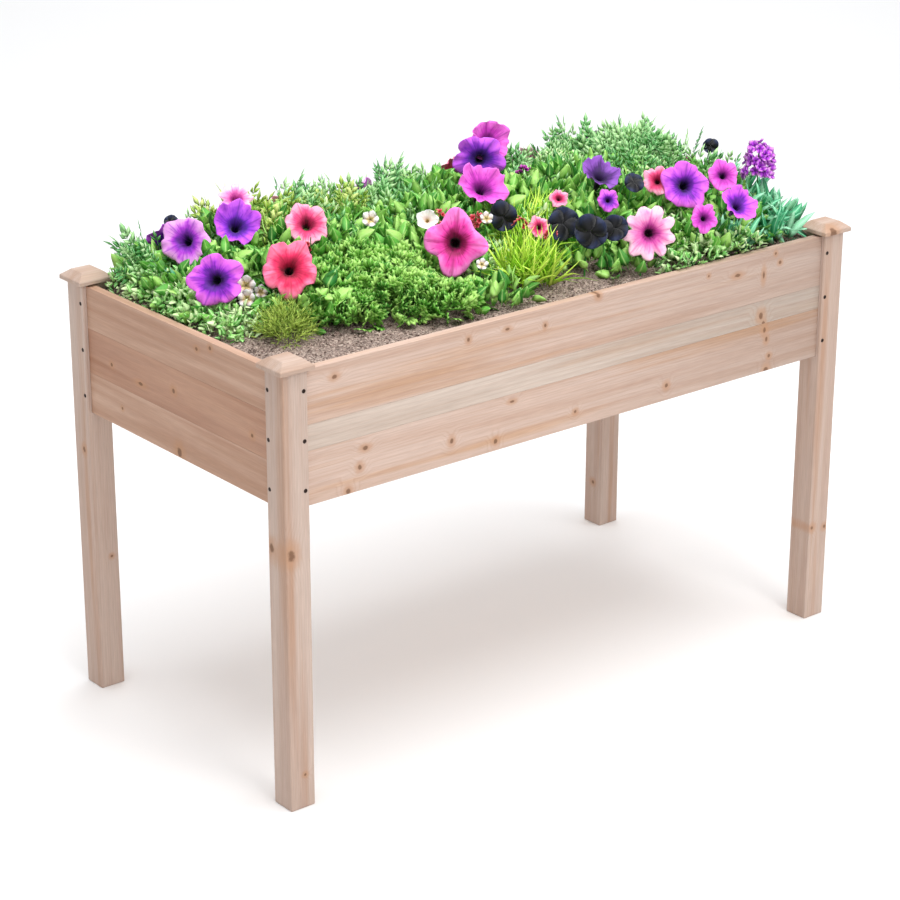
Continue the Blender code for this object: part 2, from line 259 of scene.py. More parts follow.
def fir(name, along, tones, knots=(), heart=(0.0, 0.0, 0.0), contrast=1.0, right_end_shade=0.0):
    """Planed fir whose grain runs along one axis.

    tones: pale, warm and streak colours. knots: (centre, radius in mm, the axis of the branch, stretch).
    heart: where the tree's middle lies, in metres; the pattern is slid by it. right_end_shade: how much
    painted shade darkens the wood towards the right end, where less light falls.
    """
    made, tree, shader = new_material(name, IOR=1.5)
    place = add(tree, "ShaderNodeTexCoord", out="Object")
    slid = add(tree, "ShaderNodeMapping", {"Vector": place, "Location": heart})
    squeeze = [1.0, 1.0, 1.0]
    squeeze[AXES[along]] = 1 / GRAIN_STRETCH
    flat = [1.0, 1.0, 1.0]
    flat[AXES[along]] = 0.0
    grain = add(tree, "ShaderNodeVectorMath", {0: slid, 1: squeeze}, operation="MULTIPLY")
    across = add(tree, "ShaderNodeVectorMath", {0: slid, 1: flat}, operation="MULTIPLY")

    # Knots: the distance to the nearest, with a little roughness so that none is a true oval.
    ridges = {"Vector": place, "Scale": per_mm(KNOT_RAGGEDNESS), "Detail": 2.0}
    rough = add(tree, "ShaderNodeTexNoise", ridges)
    nearest = 9.0
    for centre, radius, branch, stretch in knots:
        reach = [radius * MM] * 3
        reach[AXES[along]] *= stretch
        reach[AXES[branch]] = KNOT_DEPTH * MM
        away = add(tree, "ShaderNodeVectorMath", {0: place, 1: centre}, operation="SUBTRACT")
        even = add(tree, "ShaderNodeVectorMath", {0: away, 1: [1 / r for r in reach]}, operation="MULTIPLY")
        far = add(tree, "ShaderNodeVectorMath", {0: even}, operation="LENGTH", out="Value")
        both = {0: nearest, 1: far, 2: 0.5}
        nearest = add(tree, "ShaderNodeMath", both, operation="SMOOTH_MIN")
    ragged = add(tree, "ShaderNodeMath", {0: rough, 1: 1.1, 2: -0.55}, operation="MULTIPLY_ADD")
    knot = add(tree, "ShaderNodeMath", {0: nearest, 1: ragged}, operation="ADD")
    span = {"Value": knot, "From Min": 1.15, "From Max": 0.55}
    core = add(tree, "ShaderNodeMapRange", span, interpolation_type="SMOOTHSTEP")
    span = {"Value": knot, "From Min": 3.4, "From Max": 0.9}
    halo = add(tree, "ShaderNodeMapRange", span, interpolation_type="SMOOTHSTEP")
    span = {"Value": nearest, "From Min": 6.0, "From Max": 0.4, "To Max": 2.4 * RING_SPACING * MM}
    shove = add(tree, "ShaderNodeMapRange", span, interpolation_type="SMOOTHSTEP")

    # Growth rings: the distance from the heart, wandering a little, cut into teeth of one ring each.
    radius = add(tree, "ShaderNodeVectorMath", {0: across}, operation="LENGTH", out="Value")
    wander = add(tree, "ShaderNodeTexNoise", {"Vector": grain, "Scale": per_mm(WANDER_LENGTH), "Detail": 3.0})
    drift = add(tree, "ShaderNodeMath", {0: wander, 1: RING_WANDER * MM, 2: radius}, operation="MULTIPLY_ADD")
    pushed = add(tree, "ShaderNodeMath", {0: drift, 1: shove}, operation="ADD")
    count = add(tree, "ShaderNodeMath", {0: pushed, 1: per_mm(RING_SPACING)}, operation="MULTIPLY")
    tooth = add(tree, "ShaderNodeMath", {0: count}, operation="FRACT")
    late = ramp(
        add(tree, "ShaderNodeValToRGB", {"Fac": tooth}),
        [(0.0, "#000000"), (0.45, "#3C3C3C"), (0.86, "#FFFFFF"), (1.0, "#000000")],
    )

    # Colour: bands of warm wood on pale, a few streaks, rings, pores with painted shade towards the right
    # end, and knots, each laid over the last.
    broad = add(tree, "ShaderNodeTexNoise", {"Vector": grain, "Scale": per_mm(BAND_WIDTH), "Detail": 3.0})
    banded = add(tree, "ShaderNodeMapRange", {"Value": broad, "From Min": 0.36, "From Max": 0.64})
    moved = add(tree, "ShaderNodeMapping", {"Vector": grain, "Location": (0.31, 0.17, 0.53)})
    seam = add(tree, "ShaderNodeTexNoise", {"Vector": moved, "Scale": per_mm(STREAK_WIDTH), "Detail": 4.0})
    span = {"Value": seam, "From Min": 0.54, "From Max": 0.74, "To Max": 0.75}
    streak = add(tree, "ShaderNodeMapRange", span, interpolation_type="SMOOTHSTEP")
    patchy = add(tree, "ShaderNodeMath", {0: late, 1: 0.34 * contrast}, operation="MULTIPLY")
    darker = add(tree, "ShaderNodeMath", {0: patchy, 1: seam}, operation="MULTIPLY")
    fibre = add(tree, "ShaderNodeTexNoise", {"Vector": grain, "Scale": per_mm(FIBRE_WIDTH), "Detail": 3.0})
    span = {"Value": fibre, "From Min": 0.3, "From Max": 0.7, "To Min": 0.9, "To Max": 1.05}
    pore = add(tree, "ShaderNodeMapRange", span)
    run = add(tree, "ShaderNodeSeparateXYZ", {0: place}, out=along)
    # Painted shade: the board darkens along its length towards the right end, where less light falls.
    span = {"Value": run, "From Min": -0.1, "From Max": 0.6, "To Min": 1.0, "To Max": 1 - right_end_shade}
    painted_end_shade = add(tree, "ShaderNodeMapRange", span)
    pores_and_end_shade = add(tree, "ShaderNodeMath", {0: pore, 1: painted_end_shade}, operation="MULTIPLY")
    warm = add(tree, "ShaderNodeMath", {0: halo, 1: 0.55}, operation="MULTIPLY")
    dark = add(tree, "ShaderNodeMath", {0: core, 1: 0.85}, operation="MULTIPLY")
    wood = linear(tones[0])
    for share, colour, blend in (
        (banded, linear(tones[1]), "MIX"), (streak, linear(tones[2]), "MIX"),
        (darker, linear(LATE_WOOD), "MIX"), (1.0, pores_and_end_shade, "MULTIPLY"),
        (warm, linear(KNOT_HALO), "MIX"), (dark, linear(KNOT_CORE), "MIX"),
    ):
        over = {0: share, 6: wood, 7: colour}
        wood = add(tree, "ShaderNodeMix", over, data_type="RGBA", blend_type=blend, out=2)

    # Surface: late wood stands a hair proud and is smoother, pores are tiny grooves.
    grooves = add(tree, "ShaderNodeMath", {0: fibre, 1: 0.7, 2: late}, operation="MULTIPLY_ADD")
    relief = {"Height": grooves, "Strength": 0.35, "Distance": 0.25 * MM}
    bump = add(tree, "ShaderNodeBump", relief)
    gloss = add(tree, "ShaderNodeMapRange", {"Value": late, "To Min": 0.72, "To Max": 0.56})
    feed(tree, shader, {"Base Color": wood, "Normal": bump, "Roughness": gloss})
    return made


def dress(node, made):
    """Gives a solid node its material."""
    mesh = nodes[node].data
    mesh.materials.clear()
    mesh.materials.append(made)


# %% [markdown]
# ## Boards
#
# Each side is three boards glued edge to edge, and each board came from its own tree: the tone steps
# sharply at the joint. Every board therefore has its own material, with its own heart and its own knots.
# A knot is given as a share of the board's length and height, with its radius in millimetres and how far
# it is drawn out along the grain. The boards that face the back and right have knots from a seeded draw,
# and the front ones are darkened towards the right by painted shade.

# %% Boards
PALE = ("#D6C0B1", "#C8AD9A", "#BF9270")
PINK = ("#CDB5A7", "#BFA18F", "#BD916C")
STRIP = ("#CBBBAE", "#BFAD9F", "#BA9C85")
WARM = ("#C3A08A", "#AF8870", "#A4745A")
REDDER = ("#B99077", "#A87D66", "#9A6A4F")

SIDES = {
    "front": ("X", "Y", (PINK, STRIP, PINK)),
    "back": ("X", "Y", (PINK, PALE, PINK)),
    "left": ("Y", "X", (WARM, REDDER, WARM)),
    "right": ("Y", "X", (PINK, PALE, WARM)),
}
KNOTS = {
    "front_top_board": (
        (0.06, 0.74, 3.4, 1.7), (0.29, 0.77, 3.6, 1.0), (0.36, 0.78, 2.4, 2.2), (0.43, 0.66, 3.6, 0.8),
        (0.53, 0.97, 4.6, 1.0), (0.75, 0.79, 2.6, 1.0), (0.81, 0.65, 3.0, 2.6), (0.866, 0.52, 8.5, 0.36),
        (0.89, 0.89, 2.8, 1.0), (0.90, 0.69, 3.2, 1.0),
    ),
    "front_middle_board": ((0.864, 0.34, 7.5, 0.75), (0.87, 0.02, 5.0, 0.8)),
    "front_bottom_board": (
        (0.11, 0.77, 3.6, 1.6), (0.10, 0.44, 4.4, 1.0), (0.08, 0.04, 6.0, 0.8), (0.26, 0.43, 5.0, 0.8),
        (0.34, 0.18, 4.6, 0.9), (0.37, 0.86, 2.6, 2.0), (0.49, 0.31, 3.4, 1.0), (0.67, 0.30, 4.4, 1.0),
        (0.873, 0.86, 6.0, 0.7), (0.878, 0.66, 5.0, 0.7), (0.885, 0.30, 3.6, 1.0), (0.88, 0.02, 6.0, 0.9),
    ),
    "left_top_board": ((0.38, 0.70, 3.4, 1.2), (0.31, 0.86, 3.6, 1.0)),
    "left_middle_board": (
        (0.85, 0.42, 3.4, 1.0), (0.69, 0.30, 3.0, 3.0), (0.51, 0.50, 4.6, 1.0), (0.11, 0.36, 4.0, 1.0),
    ),
    "left_bottom_board": ((0.49, 0.12, 9.0, 0.8), (0.80, 0.5, 2.6, 1.0)),
}
SMALL_KNOT, LARGE_KNOT = 2.4, 5.6
# Painted shade: how much the front boards darken towards their right ends.
FRONT_RIGHT_END_SHADE = 0.25


def drawn_knots(draw, count):
    """A few knots for a board of no special figure."""
    return [
        (draw.uniform(0.05, 0.95), draw.uniform(0.1, 0.9), draw.uniform(SMALL_KNOT, LARGE_KNOT), 1.2)
        for _ in range(count)
    ]


def knots_on(node, along, branch, shares):
    """Turns knots given as shares of a node's length and height into knots in metres."""
    low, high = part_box(node)
    run = AXES[along]
    rise = 3 - run - AXES[branch]
    made = []
    for share, up, radius, stretch in shares:
        centre = (Vector(low) + Vector(high)) / 2
        centre[run] = low[run] + share * (high[run] - low[run])
        centre[rise] = low[rise] + up * (high[rise] - low[rise])
        made.append((centre, radius, branch, stretch))
    return made


def make_boards():
    """A material of its own for each of the twelve boards."""
    draw = random.Random(11)
    for side, (along, branch, tones) in SIDES.items():
        for level, tone in zip(("top", "middle", "bottom"), tones):
            node = f"{side}_{level}_board"
            shares = KNOTS.get(node) or drawn_knots(draw, 3 if level == "middle" else 6)
            heart = [draw.uniform(-2.0, 2.0) if axis == along else 0.0 for axis in "XYZ"]
            heart[AXES[branch]] = draw.choice((-1, 1)) * draw.uniform(0.34, 0.40)
            heart[2] = -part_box(node)[0][2] + draw.uniform(-0.02, 0.02)
            knots = knots_on(node, along, branch, shares)
            # Painted shade towards the right end, on the front boards only.
            right_end_shade = FRONT_RIGHT_END_SHADE if side == "front" else 0.0
            dress(node, fir(f"planed_fir_{node}", along, tone, knots, heart, right_end_shade=right_end_shade))


make_boards()
print("board materials:", sum(1 for m in bpy.data.materials if "board" in m.name))

# %% [markdown]
# ## Legs, caps, rails and slats
#
# The legs are sawn from paler, straighter wood than the boards, and the knot on the front left leg shows
# on both of its faces, because the branch came out at the arris. The caps are cut across a wide board,
# and the floor pieces are the same fir with a coarser, darker face, since nobody sees them.

# %% Legs and caps
LEG = ("#C3AEA1", "#B79D8E", "#B0886D")
CAP = ("#C0AA9C", "#B39785", "#A67657")
ROUGH = ("#CDB199", "#BC9A7E", "#A67A55")
LEG_KNOTS = {
    "front_left": (
        ((0.600, 0.22, 7.5, 1.5), "Y"), ((0.605, 0.80, 5.5, 1.6), "X"), ((0.08, 0.6, 3.0, 1.0), "Y"),
    ),
    "front_right": (((0.245, 0.15, 4.6, 1.0), "Y"), ((0.238, 0.85, 4.2, 1.0), "Y")),
    "back_left": (((0.60, 0.4, 4.0, 1.4), "X"), ((0.33, 0.7, 3.0, 1.0), "Y")),
    "back_right": (((0.12, 0.5, 4.4, 1.0), "X"), ((0.42, 0.4, 3.0, 1.0), "Y")),
}


def make_legs_and_caps():
    """Straight-grained legs with a few knots, and caps whose grain runs along the planter."""
    draw = random.Random(5)
    for corner, marks in LEG_KNOTS.items():
        node = f"{corner}_leg"
        knots = []
        for share, branch in marks:
            knots += knots_on(node, "Z", branch, [share])
        heart = (draw.uniform(0.05, 0.09), draw.uniform(0.04, 0.08), draw.uniform(-1.0, 1.0))
        low = Vector(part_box(node)[0])
        heart = Vector(heart) - Vector((low.x, low.y, 0.0))
        dress(node, fir(f"planed_fir_{node}", "Z", LEG, knots, heart, 0.8))
        cap = f"{corner}_cap"
        heart = Vector((draw.uniform(-1.0, 1.0), 0.04 - Vector(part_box(cap)[0]).y, -0.70))
        dark = knots_on(cap, "X", "Z", [(0.30, 0.0, 7.0, 1.2)]) if corner == "front_right" else []
        dress(cap, fir(f"planed_fir_{cap}", "X", CAP, dark, heart, 1.1))


def make_floor_timber():
    """Rough fir for the rails and slats under the soil."""
    for side, (along, branch, _) in SIDES.items():
        node = f"{side}_rail"
        knots = knots_on(node, along, branch, [(0.3, 0.5, 4.0, 1.2), (0.72, 0.4, 3.0, 1.0)])
        dress(node, fir(f"rough_fir_{node}", along, ROUGH, knots, (0.4, 0.07, -0.45), 1.6))
    slats = sorted(name for name in nodes if name.startswith("floor_slat"))
    for place, node in enumerate(slats):
        shares = [(0.2 + 0.1 * place, 0.5, 4.5, 1.2), (0.9 - 0.12 * place, 0.5, 3.0, 1.0)]
        knots = knots_on(node, "Y", "Z", shares)
        dress(node, fir(f"rough_fir_{node}", "Y", ROUGH, knots, (0.13 * place, 0.6 * place, -0.45), 1.6))


make_legs_and_caps()
make_floor_timber()
print("fir materials:", sum(1 for m in bpy.data.materials if "fir" in m.name))

# %% [markdown]
# ## Setting pieces on marks
#
# Screws and flowers have one thing in common: a finished shape is set at a chosen place, facing a chosen
# way. One Geometry Nodes tree does it for both. A mark is a loose vertex that carries a facing, a size
# and a spin. The tree puts an instance on each, and ends by making the instances real and giving them
# their finish, so that what comes out is an ordinary mesh.

# %% A tree that sets a piece on each mark
patterns = bpy.data.collections.new("patterns")
bpy.context.scene.collection.children.link(patterns)
MARK_TINT_SEED, SEAT_TINT_SEED = 3, 91
MARK_FIELDS = (("facing", "FLOAT_VECTOR", "vector"), ("size", "FLOAT", "value"), ("spin", "FLOAT", "value"))


def start_tree(name, inputs):
    """A Geometry Nodes tree with named inputs: (name, socket type, default value or None)."""
    tree = bpy.data.node_groups.new(name, "GeometryNodeTree")
    tree.is_modifier = True
    tree.interface.new_socket("Geometry", in_out="INPUT", socket_type="NodeSocketGeometry")
    for label, kind, value in inputs:
        socket = tree.interface.new_socket(label, in_out="INPUT", socket_type=kind)
        if value is not None:
            socket.default_value = value
    tree.interface.new_socket("Geometry", in_out="OUTPUT", socket_type="NodeSocketGeometry")
    return tree, add(tree, "NodeGroupInput").node.outputs


def set_pieces(tree, given, points, rotation, size, seed):
    """Every tree ends alike: the piece on each point, a random tint, real geometry and its finish."""
    shape = {"Object": given["Piece"], "As Instance": True}
    piece = add(tree, "GeometryNodeObjectInfo", shape, out="Geometry")
    set_down = {"Points": points, "Instance": piece, "Rotation": rotation, "Scale": size}
    placed = add(tree, "GeometryNodeInstanceOnPoints", set_down)
    tint = add(tree, "FunctionNodeRandomValue", {"Seed": seed}, data_type="FLOAT", out=1)
    tag = {"Geometry": placed, "Name": "tint", "Value": tint}
    tagged = add(tree, "GeometryNodeStoreNamedAttribute", tag, data_type="FLOAT", domain="INSTANCE")
    real = add(tree, "GeometryNodeRealizeInstances", {"Geometry": tagged})
    done = add(tree, "GeometryNodeSetMaterial", {"Geometry": real, "Material": given["Finish"]})
    add(tree, "NodeGroupOutput", {"Geometry": done})


def set_on_marks_tree():
    """Sets a piece on every mark, its +Z along the mark's facing."""
    wanted = [("Piece", "NodeSocketObject", None), ("Finish", "NodeSocketMaterial", None)]
    tree, given = start_tree("set_on_marks", wanted)
    facing, size, spin = (
        add(tree, "GeometryNodeInputNamedAttribute", {"Name": label}, data_type=kind)
        for label, kind, _ in MARK_FIELDS
    )
    aimed = add(tree, "FunctionNodeAlignRotationToVector", {"Vector": facing}, axis="Z")
    turn = add(tree, "FunctionNodeAxisAngleToRotation", {"Axis": (0.0, 0.0, 1.0), "Angle": spin})
    both = {"Rotation": aimed, "Rotate By": turn}
    turned = add(tree, "FunctionNodeRotateRotation", both, rotation_space="LOCAL")
    set_pieces(tree, given, given["Geometry"], turned, size, MARK_TINT_SEED)
    return tree


def marks(name, rows):
    """Loose vertices, each with a facing, a size and a spin."""
    mesh = bpy.data.meshes.new(name)
    mesh.from_pydata([row[0] for row in rows], [], [])
    for column, (label, kind, field) in enumerate(MARK_FIELDS, 1):
        layer = mesh.attributes.new(label, kind, "POINT")
        for item, row in zip(layer.data, rows):
            setattr(item, field, row[column])
    return stand(name, mesh)


def run_tree(holder, tree, values):
    """Runs a tree on an object and leaves the object holding the plain mesh that comes out."""
    made = holder.modifiers.new(tree.name, "NODES")
    made.node_group = tree
    for item in tree.interface.items_tree:
        if item.in_out == "INPUT" and item.name in values:
            made[item.identifier] = values[item.name]
    holder.update_tag()
    graph = bpy.context.evaluated_depsgraph_get()
    graph.update()
    mesh = bpy.data.meshes.new_from_object(holder.evaluated_get(graph), depsgraph=graph)
    holder.modifiers.clear()
    holder.data = mesh


def finish_piece(made, stands_for=()):
    """Tells the frame what a finished piece is, and prints its size."""
    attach(made, "root")
    if stands_for:
        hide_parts(*stands_for)
    made.data.calc_loop_triangles()
    print(f"{made.name}: {len(made.data.loop_triangles)} triangles")


on_marks = set_on_marks_tree()

# %% [markdown]
# ## Wood screws
#
# Three dark screws hold each board end to each leg: a countersunk head with a cross recess, driven flush.
# The solid model has plain ones. Here the head is a turned profile with a small rim round its edge, and
# the recess is cut from it with two thin wedges. The steel is black phosphated, which is matt and nearly
# black, with a brownish cast in patches where the coating thins.

# %% Screws
SCREW_ROUND = 20
HEAD_RADIUS = 3.4 * MM
CROSS_WIDTH, CROSS_SPAN, CROSS_DEPTH = 0.9 * MM, 4.0 * MM, 1.3 * MM
CROSS_TAPER = 0.55
# (radius, height) of the turned outline, as shares of the head's radius.
SCREW_OUTLINE = (
    (0.0, 0.0), (0.84, 0.0), (0.94, 0.02), (1.0, -0.08),
    (1.0, -0.16), (0.59, -0.66), (0.59, -7.6), (0.0, -8.8),
)


def plain_mesh(made):
    """The mesh of an object with its modifiers applied; the object is removed."""
    graph = bpy.context.evaluated_depsgraph_get()
    mesh = bpy.data.meshes.new_from_object(made.evaluated_get(graph), depsgraph=graph)
    bpy.data.objects.remove(made)
    return mesh


def pattern(name, mesh):
    """An object that is only ever copied by a tree."""
    made = bpy.data.objects.new(name, mesh)
    patterns.objects.link(made)
    return made


def turned(outline, sides):
    """Turns an outline of (radius, height), ending on the axis at both ends, into a closed solid."""
    bm = bmesh.new()
    rings = [
        [
            bm.verts.new((radius * math.cos(a), radius * math.sin(a), height))
            for a in angles_round(sides if radius else 1)
        ]
        for radius, height in outline
    ]
    bridge(bm, rings)
    return bm


def make_screw():
    """One screw, its head's face at z = 0 and its point below."""
    outline = [(HEAD_RADIUS * radius, HEAD_RADIUS * height) for radius, height in SCREW_OUTLINE]
    screw = pattern("screw_blank", mesh_from(turned(outline, SCREW_ROUND), "screw_blank", outward=True))
    bm = bmesh.new()
    bmesh.ops.create_cube(bm, size=1.0)
    for vert in bm.verts:
        x, y, z = vert.co
        taper = 1.0 if z > 0 else CROSS_TAPER
        vert.co = (x * CROSS_SPAN * taper, y * CROSS_WIDTH * taper, z * 2 * CROSS_DEPTH)
    slot = mesh_from(bm, "recess_cutter")
    cutters = []
    for turn in (0.0, math.pi / 2):
        cutter = pattern("recess_cutter", slot.copy())
        cutter.data.transform(Matrix.Rotation(turn, 4, "Z"))
        screw.modifiers.new("recess", "BOOLEAN").object = cutter
        cutters.append(cutter)
    mesh = plain_mesh(screw)
    for cutter in cutters:
        bpy.data.objects.remove(cutter)
    return pattern("screw", mesh)


def phosphated_steel():
    """Black phosphated steel: matt, nearly black, browner where the coating is thin."""
    made, tree, shader = new_material("phosphated_steel", Metallic=0.85)
    place = add(tree, "ShaderNodeTexCoord", out="Object")
    grit = add(tree, "ShaderNodeTexNoise", {"Vector": place, "Scale": per_mm(0.6), "Detail": 3.0})
    shade = ramp(add(tree, "ShaderNodeValToRGB", {"Fac": grit}), [(0.35, "#2A2220"), (0.7, "#4A3A34")])
    gloss = add(tree, "ShaderNodeMapRange", {"Value": grit, "To Min": 0.4, "To Max": 0.62})
    feed(tree, shader, {"Base Color": shade, "Roughness": gloss})
    return made


def set_screws():
    """A screw on each place where the solid model has one, facing out of the leg."""
    draw = random.Random(7)
    names = sorted(name for name in nodes if "_screw_" in name)
    rows = []
    for name in names:
        low, high = (Vector(corner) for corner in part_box(name))
        middle = (low + high) / 2
        run = 0 if high.x - low.x > high.y - low.y else 1
        outward = Vector((0.0, 0.0, 0.0))
        outward[run] = math.copysign(1.0, middle[run])
        middle[run] = high[run] if middle[run] > 0 else low[run]
        rows.append((middle, outward, 1.0, draw.uniform(0.0, math.pi)))
    made = marks("wood_screws", rows)
    run_tree(made, on_marks, {"Piece": make_screw(), "Finish": phosphated_steel()})
    finish_piece(made, names)


set_screws()

# %% [markdown]
# ## Liner
#
# The liner is needled felt, a grey-black mat of short fibres with no weave. Its look is all in fine
# noise: a dark base, paler loose fibres, and a surface that is rough at about a millimetre.

# %% Felt
def needled_felt():
    """Needled polyester felt: dark, fibrous and matt."""
    made, tree, shader = new_material("needled_felt", Roughness=0.95, Sheen_Weight=0.3)
    place = add(tree, "ShaderNodeTexCoord", out="Object")
    hair = {"Vector": place, "Scale": per_mm(2.5), "Detail": 4.0, "Distortion": 1.5}
    fibres = add(tree, "ShaderNodeTexNoise", hair)
    shade = ramp(add(tree, "ShaderNodeValToRGB", {"Fac": fibres}), [(0.35, "#2E2F30"), (0.68, "#67696A")])
    bump = add(tree, "ShaderNodeBump", {"Height": fibres, "Strength": 0.8, "Distance": 0.8 * MM})
    feed(tree, shader, {"Base Color": shade, "Normal": bump})
    return made


dress("liner", needled_felt())

# %% [markdown]
# ## Scattering on a seat
#
# Soil crumbs lie on a surface, and leaves grow out of a crown or cover the outside of a mound. Both are
# one tree: points are scattered over a seat surface, and a piece is set on each, pointing away from the
# surface, leaned and spun by a seeded draw. A steep little dome gives a tuft, and a wide one gives a
# mound. Each instance also gets a random tint, which its material uses to make no two leaves quite the
# same green.

# %% A tree that scatters a piece over a seat
def scatter_tree():
    """Scatters a piece over the input surface."""
    wanted = [
        ("Piece", "NodeSocketObject", None), ("Finish", "NodeSocketMaterial", None),
        ("Per Square Metre", "NodeSocketFloat", 100.0), ("Seed", "NodeSocketInt", 0),
        ("Smallest", "NodeSocketFloat", 0.7), ("Largest", "NodeSocketFloat", 1.1),
        ("Lean", "NodeSocketFloat", 0.4), ("Upward", "NodeSocketFloat", 0.3),
    ]
    tree, given = start_tree("scatter_on_seat", wanted)
    sown = {"Mesh": given["Geometry"], "Density": given["Per Square Metre"], "Seed": given["Seed"]}
    points, normal, _ = add(tree, "GeometryNodeDistributePointsOnFaces", sown).node.outputs
    lift = add(tree, "ShaderNodeCombineXYZ", {"Z": given["Upward"]})
    outward = add(tree, "ShaderNodeVectorMath", {0: normal, 1: lift}, operation="ADD")
    aimed = add(tree, "FunctionNodeAlignRotationToVector", {"Vector": outward}, axis="Z")
    lean = given["Lean"]
    back = add(tree, "ShaderNodeMath", {0: lean, 1: -1.0}, operation="MULTIPLY")
    least = add(tree, "ShaderNodeCombineXYZ", {"X": back, "Y": back})
    most = add(tree, "ShaderNodeCombineXYZ", {"X": lean, "Y": lean, "Z": 2 * math.pi})
    leaning = {0: least, 1: most, "Seed": given["Seed"]}
    tip = add(tree, "FunctionNodeRandomValue", leaning, data_type="FLOAT_VECTOR")
    turn = add(tree, "FunctionNodeEulerToRotation", {0: tip})
    both = {"Rotation": aimed, "Rotate By": turn}
    turned_by = add(tree, "FunctionNodeRotateRotation", both, rotation_space="LOCAL")
    sizes = {2: given["Smallest"], 3: given["Largest"], "Seed": given["Seed"]}
    size = add(tree, "FunctionNodeRandomValue", sizes, data_type="FLOAT", out=1)
    set_pieces(tree, given, points, turned_by, size, SEAT_TINT_SEED)
    return tree


def sow(seat, piece, finish, density, smallest, largest, lean, upward, seed):
    """Runs the scattering tree on a seat."""
    values = {"Piece": piece, "Finish": finish, "Per Square Metre": density, "Seed": seed}
    values.update({"Smallest": smallest, "Largest": largest, "Lean": lean, "Upward": upward})
    run_tree(seat, scatter, values)


scatter = scatter_tree()

# %% [markdown]
# ## Potting soil
#
# Dry peat and bark: a lumpy surface, grey-brown, with crumbs and chips lying on it. The block itself is a
# grid pushed up and down by noise and closed underneath. The crumbs are a few thousand tiny lumps of
# twenty faces each, because anything finer would cost more than it shows.

# %% Soil
SOIL_STEPS = (150, 70)
LUMP = 5.0 * MM
soil_low, soil_high = (Vector(corner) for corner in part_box("soil"))
GROUND = soil_high.z


def hump(x, y):
    """The soil's height above its plain level."""
    wave = math.sin(17 * x + 3 * math.sin(9 * y)) + math.sin(23 * y + 2 * math.sin(11 * x))
    return 0.35 * LUMP * wave / 2


def make_soil_block():
    """The body of the soil: a lumpy top on a closed block."""
    bm = bmesh.new()
    bmesh.ops.create_grid(bm, x_segments=SOIL_STEPS[0], y_segments=SOIL_STEPS[1], size=0.5)
    draw = random.Random(23)
    size = soil_high - soil_low
    for vert in bm.verts:
        x, y = vert.co.x * size.x, vert.co.y * size.y
        edge = max(abs(vert.co.x), abs(vert.co.y)) > 0.499
        rough = 0.0 if edge else hump(x, y) + draw.uniform(-0.35, 0.35) * LUMP
        vert.co = Vector((x, y, GROUND + min(rough, LUMP)))
    top = list(bm.faces)
    walls = bmesh.ops.extrude_face_region(bm, geom=top)
    for item in walls["geom"]:
        if isinstance(item, bmesh.types.BMVert):
            item.co.z = soil_low.z
    return stand("potting_soil", mesh_from(bm, "soil_block", outward=True))


def potting_soil():
    """Dry peat compost: matt grey-brown with pale fibres, darker where its bumps are low: its own dark bits
    and painted shade in the gaps.
    """
    made, tree, shader = new_material("peat_compost", Roughness=0.97)
    place = add(tree, "ShaderNodeTexCoord", out="Object")
    grains = add(tree, "ShaderNodeTexVoronoi", {"Vector": place, "Scale": per_mm(4.0), "Randomness": 1.0})
    fine = add(tree, "ShaderNodeTexNoise", {"Vector": place, "Scale": per_mm(3.0), "Detail": 6.0})
    # The noise that colours the soil also raises its bumps: the dark low places are dark soil and painted
    # shade in the gaps.
    stops = [(0.32, "#3E2F27"), (0.46, "#87736A"), (0.60, "#B29F93"), (0.75, "#DCCDC1")]
    shade = ramp(add(tree, "ShaderNodeValToRGB", {"Fac": fine}), stops)
    grey = add(tree, "ShaderNodeSeparateColor", {"Color": grains.node.outputs["Color"]})
    span = {"Value": grey, "To Min": 0.62, "To Max": 1.15}
    shift = add(tree, "ShaderNodeMapRange", span)
    toned = {0: 1.0, 6: shade, 7: shift}
    shade = add(tree, "ShaderNodeMix", toned, data_type="RGBA", blend_type="MULTIPLY", out=2)
    high = add(tree, "ShaderNodeMath", {0: fine, 1: grains}, operation="ADD")
    bump = add(tree, "ShaderNodeBump", {"Height": high, "Strength": 0.9, "Distance": 1.5 * MM})
    feed(tree, shader, {"Base Color": shade, "Normal": bump})
    return made


def crumb(name, squash):
    """A lump of soil, twenty faces, 1 mm in radius."""
    bm = bmesh.new()
    bmesh.ops.create_icosphere(bm, subdivisions=1, radius=MM)
    draw = random.Random(31)
    for vert in bm.verts:
        vert.co = vert.co * draw.uniform(0.7, 1.25)
        vert.co.z *= squash
    return pattern(name, mesh_from(bm, name))


def seat_grid(name, low, high, height):
    """A flat seat over a rectangle, facing up."""
    bm = bmesh.new()
    bmesh.ops.create_grid(bm, x_segments=1, y_segments=1, size=0.5)
    middle, span = (low + high) / 2, high - low
    for vert in bm.verts:
        vert.co = (middle.x + vert.co.x * span.x, middle.y + vert.co.y * span.y, height)
    return stand(name, mesh_from(bm, name))


compost = potting_soil()
# (piece, flatness, how many to a square metre, smallest and largest radius in millimetres, seed)
LITTER = (("soil_crumbs", 0.8, 6200.0, 1.0, 3.4, 1), ("bark_chips", 0.3, 900.0, 2.5, 5.5, 2))
LITTER_LEAN, LITTER_SINK = 1.2, 0.2
EDGE = Vector((8 * MM, 8 * MM, 0.0))


def make_soil():
    """The soil, with crumbs and flat bark chips on it."""
    block = make_soil_block()
    block.data.materials.append(compost)
    finish_piece(block, ["soil"])
    for name, flatness, density, least, most, seed in LITTER:
        seat = seat_grid(name, soil_low + EDGE, soil_high - EDGE, GROUND + LITTER_SINK * LUMP)
        sow(seat, crumb(f"{name}_lump", flatness), compost, density, least, most, LITTER_LEAN, 0.0, seed)
        finish_piece(seat)


make_soil()

